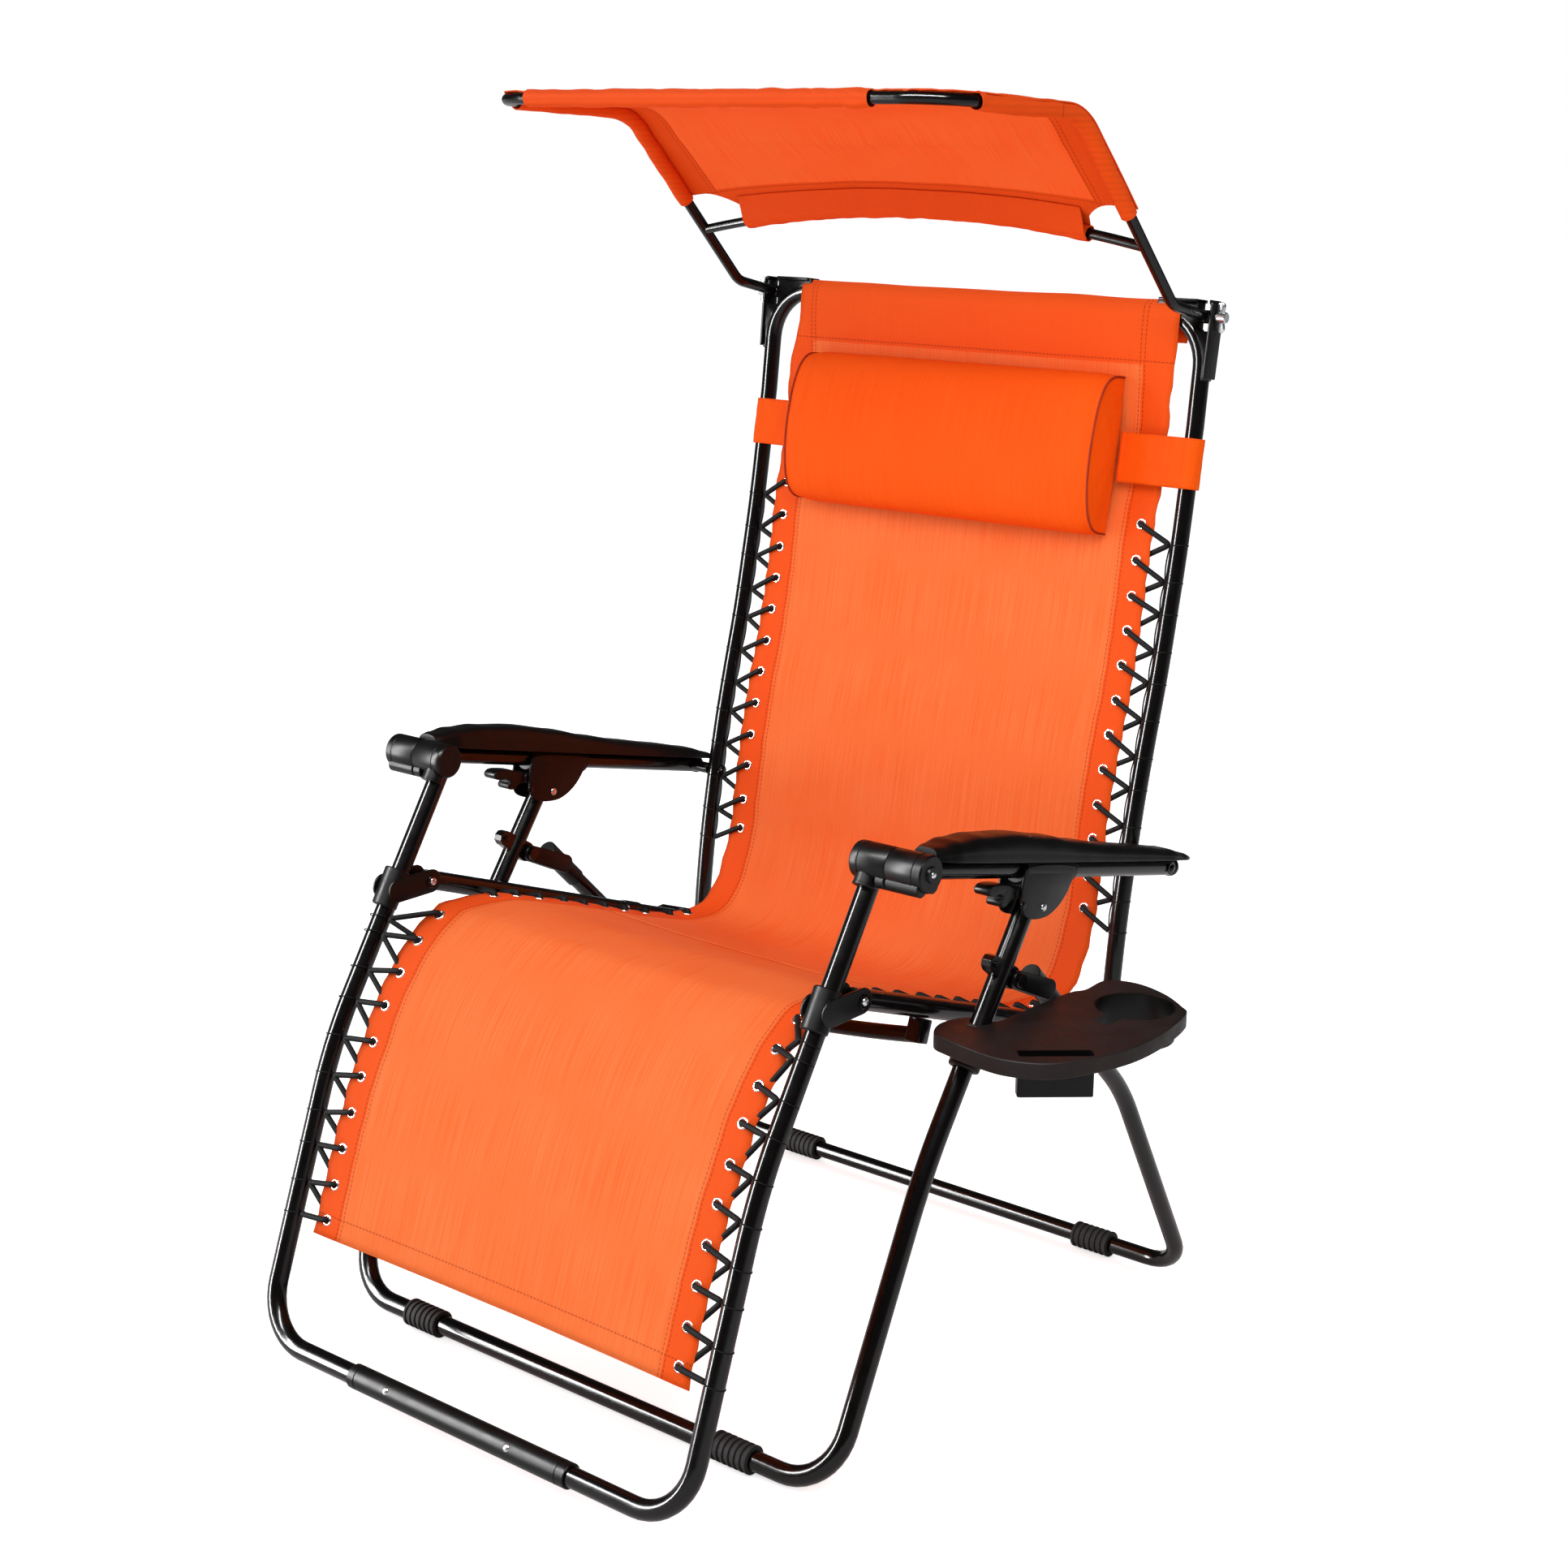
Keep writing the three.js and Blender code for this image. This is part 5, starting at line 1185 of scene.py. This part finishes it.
def make_sling():
    line = smooth_line(sling_line(), 11)
    lengths = run_lengths(line)
    middle = min(range(len(line)), key=lambda i: abs(line[i].y - 226) + (0 if line[i].z < 500 else 1e3))
    band = next(lengths[i] for i in range(len(line)) if line[i].z > 1072)
    # PVC-coated polyester mesh, heat-set: soft streaks, and a deeper border sewn along its edges
    sling_mesh = cloth(
        "sling_mesh", "#ff8044", "#fc6e2c", "#f8500a",
        [("u", 0.2365, 0.4), ("v", mm(band), 9.0)], 2.2,
        stitch=[("u", 0.2395), ("u", 0.2335), ("v", 0.024), ("v", mm(band) + 0.004)],
    )
    sling_piece(
        "sling_lower_cloth", line[:middle + 1], lengths[:middle + 1],
        ["sling_leg"], sling_mesh,
    )
    sling_piece(
        "sling_upper_cloth", line[middle:], lengths[middle:],
        ["sling_seat", "sling_back"],
        sling_mesh,
    )


def eyelet_run(name, eyes, body):
    """Nickel rings at the eyelets of one run, on both sides of the cloth."""
    spots = [flat(eye) for eye in eyes]
    pieces = []
    for i, spot in enumerate(spots):
        turn = (-square_to(heading(spots, i))).to_track_quat("Z", "Y").to_euler()
        for side in (1, -1):
            deselect()
            bpy.ops.mesh.primitive_torus_add(
                major_segments=22, minor_segments=8, major_radius=mm(5.1), minor_radius=mm(1.6),
                location=place(side * EYELET_HALF, spot.y, spot.z), rotation=turn,
            )
            pieces.append(bpy.context.object)
    join(pieces, name)
    made = take(name, nickel)
    smooth(made, 60)
    ridden(made, body, "zinc")


def lace_run(eyes, tube_line, tube_radius, shift, body, node_stem):
    """Thick elastic zigzags from each eyelet to the tube's inner edge and back behind the cloth.

    On the back and the leg rest a thin loop round the tube holds each turn, and on the back a string
    runs from one to the next.
    """
    eyes = [flat(eye) for eye in eyes]
    posts = [flat((p.y, p.z)) for p in tube_line]
    step = (tube_line[1] - tube_line[0]).length
    nearest = [min(range(len(posts)), key=lambda k: (posts[k] - eye).length) for eye in eyes]
    sense = 1 if nearest[-1] > nearest[0] else -1
    inner = FRAME_HALF - tube_radius - 2.2
    for node_name, side in both(node_stem):
        path, knots = [], []

        def go(x, spot):
            path.append(Vector((side * x, spot.y, spot.z)))

        for i, eye in enumerate(eyes):
            ahead = heading(eyes, i)
            front = -square_to(ahead)
            if front.y > 0 and body != "seat" or front.z < 0 and body == "seat":
                front = -front
            k = min(max(nearest[i] + sense * round(shift / step), 0), len(tube_line) - 1)
            knots.append(k)
            go(EYELET_HALF - 2, eye - front * 4.5)
            go(EYELET_HALF + 1, eye + front * 5)
            go(inner, posts[k])
            if i + 1 < len(eyes):
                go(EYELET_HALF + 6, eyes[i + 1] - front * 5.5 - ahead * 5)
        parts = [tube("cord", eased_line(path, share=0.07), 3.2, elastic, sides=14)]
        for k in knots if body != "seat" else []:
            centre = Vector((side * FRAME_HALF, *posts[k][1:]))
            parts.append(wrap_loop(centre, heading(tube_line, k), side, tube_radius + 0.2))
        for a, b in zip(knots, knots[1:]) if body == "back" else []:
            points = []
            for n in range(11):
                x = inner + 0.8 - 2.0 * math.sin(math.pi * n / 10)
                points.append(Vector((side * x, *posts[a].lerp(posts[b], n / 10)[1:])))
            parts.append(tube("string", points, 0.9, elastic, sides=8))
        made = join(parts, node_name.replace("lacing", "laces"))
        ridden(made, body, "cord", node_name)


def wrap_loop(centre, along, side, radius, lean=1.5):
    """A thin string round the tube, leaning along it, that holds the cord's turn."""
    points = []
    for k in range(28):
        a = 2 * math.pi * k / 28
        points.append(centre + Vector((1, 0, 0)) * radius * math.cos(a)
                      + square_to(along) * radius * math.sin(a) + along * lean * math.cos(a) * side)
    return tube("loop", points, 0.6, elastic, sides=8, closed=True)


def make_laces():
    back_side = evenly(back_side_line(), 6)
    seat_side = evenly([flat(KNEE, FRAME_HALF), flat(HIP, FRAME_HALF)], 6)
    leg_side = evenly(bent([
        (FRAME_HALF, *knee_point(478), 0), (FRAME_HALF, *LEG_BEND, LEG_BEND_RADIUS),
        (FRAME_HALF, *LEG_BAR, 0),
    ]), 6)
    eyelet_run("eyelets_back", BACK_EYES, "back")
    eyelet_run("eyelets_seat", SEAT_EYES, "seat")
    eyelet_run("eyelets_leg", LEG_EYES, "leg_rest")
    lace_run(BACK_EYES, back_side, 10, 20, "back", "lacing_back")
    lace_run(SEAT_EYES, seat_side, 11, 14, "seat", "lacing_seat")
    lace_run(LEG_EYES, leg_side, 11, 9, "leg_rest", "lacing_leg")


# Pillow
def pillow_frame():
    """The pillow's middle, the way up the back there, and the way to the sitter."""
    a, b = flat(back_point(BACK_RISE[-3])), flat(back_point(BACK_RISE[-2]))
    z = HIP[1] + BACK_HEIGHT * 0.794
    up = (b - a).normalized()
    return a.lerp(b, (z - a.z) / (b.z - a.z)), up, square_to(up)


def pillow_skin(s, t):
    """The D-shaped section's height and depth at a share along the pillow and round its front."""
    a = -math.pi / 2 + math.pi * t
    end = max(0.0, (abs(s) - 0.86) / 0.14)
    swell = 1 - 0.035 * end ** 2
    crease = 2.2 * max(0.0, abs(s) - 0.55) * noise.noise(Vector((s * 22, t * 5.0, 1.5)))
    crease += 1.6 * noise.noise(Vector((s * 3.4, t * 2.0, 5.5)))
    across = 91 * swell * math.sin(a)
    deep = PILLOW_LIFT + (55 + crease) * swell * abs(math.cos(a)) ** 0.56
    return across, deep


def make_pillow():
    centre, up, front = pillow_frame()

    def spot(x, across, deep):
        p = centre + up * across + front * deep
        return x + PILLOW_SHIFT, p.y, p.z

    def skin(u, v):
        s = u * 2 - 1
        return place(*spot(s * PILLOW_HALF, *pillow_skin(s, v))), (mm(s * PILLOW_HALF), v * 0.26)

    def rear(u, v):
        s = u * 2 - 1
        low, high = pillow_skin(s, 0.0)[0], pillow_skin(s, 1.0)[0]
        across = low + (high - low) * v
        return place(*spot(s * PILLOW_HALF, across, PILLOW_LIFT)), (mm(s * PILLOW_HALF), v * 0.2)

    def cap(side):
        def shape(u, v):
            across, deep = pillow_skin(side, v)
            bulge = 2.5 * (1 - u ** 2) + 1.6 * u * noise.noise(Vector((v * 9, u * 2, side)))
            x = side * (PILLOW_HALF + bulge * (1 - u ** 4))
            return place(*spot(x, across * u, PILLOW_LIFT + (deep - PILLOW_LIFT) * u)), (u * 0.09, v * 0.2)
        return shape

    parts = [
        grid("pillow_front", 132, 64, skin, pillow_cloth),
        grid("pillow_rear", 132, 24, rear, pillow_cloth),
        grid("pillow_end", 20, 64, cap(1), pillow_cloth),
        grid("pillow_end", 20, 64, cap(-1), pillow_cloth),
    ]
    made = join(parts, "pillow_cushion")
    seal(made, 0.0009)
    smooth(made, 50)
    ridden(made, "pillow", "canopy", "pillow")
    # Pipe cords round each end, in orange darkened with painted seam shade
    pipes = []
    for side in (1, -1):
        points = []
        for k in range(49):
            across, deep = pillow_skin(side, k / 48)
            points.append(spot(side * (PILLOW_HALF + 0.4), across * 1.004, deep + 0.4))
        pipes.append(tube("seam", points, 1.4, seam_shade_piping, sides=10))
    ridden(join(pipes, "pillow_seams"), "pillow", "canopy")
    make_straps(centre, up, front)


def make_straps(centre, up, front):
    """A flat band from each end of the pillow round the back tube and a short way back."""
    half_high = 28
    outline = [(PILLOW_HALF + 4, 12.6), (270, 12.6), (FRAME_HALF, 12.4)]
    for k in range(1, 12):
        a = math.pi / 2 - math.pi * k / 12
        outline.append((FRAME_HALF + 12.4 * math.cos(a), 12.4 * math.sin(a)))
    outline += [(FRAME_HALF, -12.4), (290, -12.0), (268, -10.5)]
    line = evenly([Vector((x, depth, 0)) for x, depth in outline], 3)
    count = len(line) - 1
    for name, side in both("pillow_strap"):
        def shape(u, v, side=side):
            k = min(count, round(u * count))
            x, depth = line[k].x, line[k].y
            ripple = 0.8 * noise.noise(Vector((k / 5, v * 5, 2.0)))
            p = centre + up * (half_high * (2 * v - 1)) + front * (depth + ripple)
            return place(side * x, p.y, p.z), (mm(x), mm(v * 2 * half_high))

        strap = grid(name.replace("pillow_strap", "pillow_band"), count, 16, shape, pillow_cloth)
        thicken(strap, 1.5)
        ridden(strap, "pillow", "canopy", name)


# Canopy
def canopy_rear():
    """Where the crossbar meets the hoop's sides, 1208 mm above the floor."""
    bend, low = flat(CANOPY_BEND), flat(CANOPY_LOW)
    return bend.lerp(low, (bend.z - 1208) / (bend.z - low.z))


def canopy_line():
    """The cover's side line, from the front bar to the crossbar."""
    points = bent([(0, *CANOPY_FRONT, 0), (0, *CANOPY_BEND, 70), (*canopy_rear(), 0)], 6)
    return evenly(points, 8)


def crossbar_line(reach, step=6):
    """The crossbar's middle line, which bows up by CROSSBAR_BOW."""
    rear = canopy_rear()
    count = round(2 * reach / step)
    line = []
    for k in range(count + 1):
        x = -reach + 2 * reach * k / count
        line.append(Vector((x, rear.y, rear.z + CROSSBAR_BOW * (1 - (x / FRAME_HALF) ** 2))))
    return line


def make_canopy_frame():
    hoop_line = bent(hoop([
        (FRAME_HALF, CANOPY[0] - 5, CANOPY[1] + 1, 0), (FRAME_HALF, *CANOPY_LOW, 34),
        (FRAME_HALF, *CANOPY_BEND, 70), (FRAME_HALF, *CANOPY_FRONT, 58),
    ]), 5)
    parts = [
        tube("hoop", hoop_line, 6.2, powder_coat, 24),
        tube("crossbar", crossbar_line(FRAME_HALF), 5.5, powder_coat, 24),
    ]
    for side in (1, -1):
        ends = [(side * x, *CANOPY) for x in (300.4, 313.6)]
        parts.append(rod("eye", *ends, 7.4, powder_coat, 0.8, 28))
    ridden(join(parts, "canopy_hoop"), "canopy", "steel", "canopy_frame")
    y, z = CANOPY
    for name, side in both("canopy_knob"):
        parts = [
            rod("bolt", (side * 297.5, y, z), (side * 322, y, z), 3.9, nickel, 0.4, 24),
            rod("hub", (side * 321.6, y, z), (side * 333, y, z), 6, nickel, 0.8, 28),
        ]
        for way in (1, -1):
            ring = link((0, z + way * 4), (0, z + way * 12), 3.4, 4.8, 0)
            wing = [(side * (326 + p[1]), y - 2, p[2]) for p in ring]
            parts.append(plate("wing", wing, (0, 4, 0), nickel, 0.9))
        ridden(join(parts, name + "_wing_nut"), name, "zinc", name)


def make_canopy():
    line = canopy_line()
    count = len(line) - 1
    step = 8.0
    total = step * count
    # Plain-woven polyester again, with darker doubled bands sewn down the sides and the rear
    canopy_cloth = cloth(
        "canopy_polyester", "#ff7034", "#ff5c20", "#e04a0e",
        [("u", 0.262, 0.6), ("v", mm(total) - 0.052, 9.0)], 1.8, 0.8, 0.2,
        stitch=[("u", 0.264), ("u", 0.270), ("v", mm(total) - 0.048)],
    )

    def normal(k):
        n = square_to(heading(line, k))
        return n if n.z > 0 or n.y > 0 else -n

    def sheet(u, v, lift, first=0.0):
        """A point of the cover or, with first set, of the pocket that starts at that share of it."""
        t = first + (1 - first) * v
        x = (u * 2 - 1) * CANOPY_HALF
        if not first:
            # The rear corners are cut back in a curve beside the pocket, and the front ones rounded
            beside = unit((abs(x) - 236) / 6)
            curve = 1 - (1 - unit((abs(x) - 236) / 50)) ** 2
            t *= 1 - beside * (12 + 36 * curve) / total
            x *= 1 - 0.12 * max(0.0, 1 - t * total / 60) ** 2
        along = t * count
        k = min(count - 1, int(along))
        spot = line[k].lerp(line[k + 1], along - k)
        across = max(0.0, 1 - (abs(x) / CANOPY_HALF) ** 2)
        sag = 9.0 * across * math.sin(math.pi * t)
        bow = CROSSBAR_BOW * across * max(0.0, (t - 0.66) / 0.34) ** 0.6
        ripple = 1.3 * noise.noise(Vector((x / 55, k / 10, 4.4))) * (0.4 + math.sin(math.pi * t))
        if t < 0.1:
            ripple += 2.0 * noise.noise(Vector((x / 11, t * 6, 2.2))) * (1 - t / 0.1)
        ease = 1 - 0.85 * v * (first > 0)
        p = spot + normal(k) * (lift - (sag + ripple) * ease) + Vector((0, 0, bow))
        return place(x, p.y, p.z), (mm(x), mm(step * along))

    def pocket_sheet(u, v):
        """The pocket's inner layer, which leaves the cover and curls in below the crossbar."""
        return sheet(0.5 + (u - 0.5) * 0.758, v, 5.6 - 14 * min(1.0, v / 0.8) ** 1.3, 1 - 37 / total)

    cover = grid("canopy_cloth", 96, count, lambda u, v: sheet(u, v, 7.6), canopy_cloth)
    thicken(cover, 1.3)
    pocket = grid("canopy_pocket", 64, 12, pocket_sheet, canopy_cloth)
    thicken(pocket, 1.2)
    made = join([cover, pocket] + canopy_sleeves(line, canopy_cloth), "canopy_cloth")
    smooth(made, 60)
    ridden(made, "canopy", "canopy", "canopy_cover")


def canopy_sleeves(line, canopy_cloth):
    """Cloth sewn round the hoop's sides, its front bar and the crossbar."""
    def sleeve(name, points, radius):
        made = tube(name, points, radius, canopy_cloth, sides=24, caps=False)
        layer = made.data.uv_layers.get("cloth") or made.data.uv_layers.new(name="cloth")
        for loop in made.data.loops:
            spot = made.data.vertices[loop.vertex_index].co
            layer.data[loop.index].uv = (0.1 + spot.z * 0.3, spot.y + spot.x)
        thicken(made, 1.2)
        for vertex in made.data.vertices:
            x, y, z = vertex.co
            crumple = noise.noise(Vector((x * 60 + z * 50, y * 40, z * 40)))
            gather = 1.0 + 1.6 * unit((x - 0.03) / 0.08) * (y < 0.0)
            vertex.co += vertex.normal * crumple * 0.0012 * gather
        return made

    sides = evenly([p for p in line if p.y > 158 and p.z > 1241], 5)
    return [
        sleeve("left_sleeve", [(FRAME_HALF, p.y, p.z) for p in sides], 8.6),
        sleeve("right_sleeve", [(-FRAME_HALF, p.y, p.z) for p in sides], 8.6),
        sleeve("front_sleeve", [(x, *CANOPY_FRONT) for x in range(-240, 222, 4)], 8.8),
        sleeve("rear_sleeve", crossbar_line(238), 8.2),
    ]


# The scene
def main():
    set_camera()
    set_world()
    set_lamps()
    set_floor()
    make_base()
    make_back_frame()
    make_leg_frame()
    make_seat_frame()
    make_pins()
    make_arms()
    for name, _ in both("cross_tongue"):
        finish_node(name, powder_coat, 0.6)
    make_tray()
    make_sling()
    make_laces()
    make_pillow()
    make_canopy_frame()
    make_canopy()
    bpy.context.scene.view_settings.view_transform = "Standard"


main()
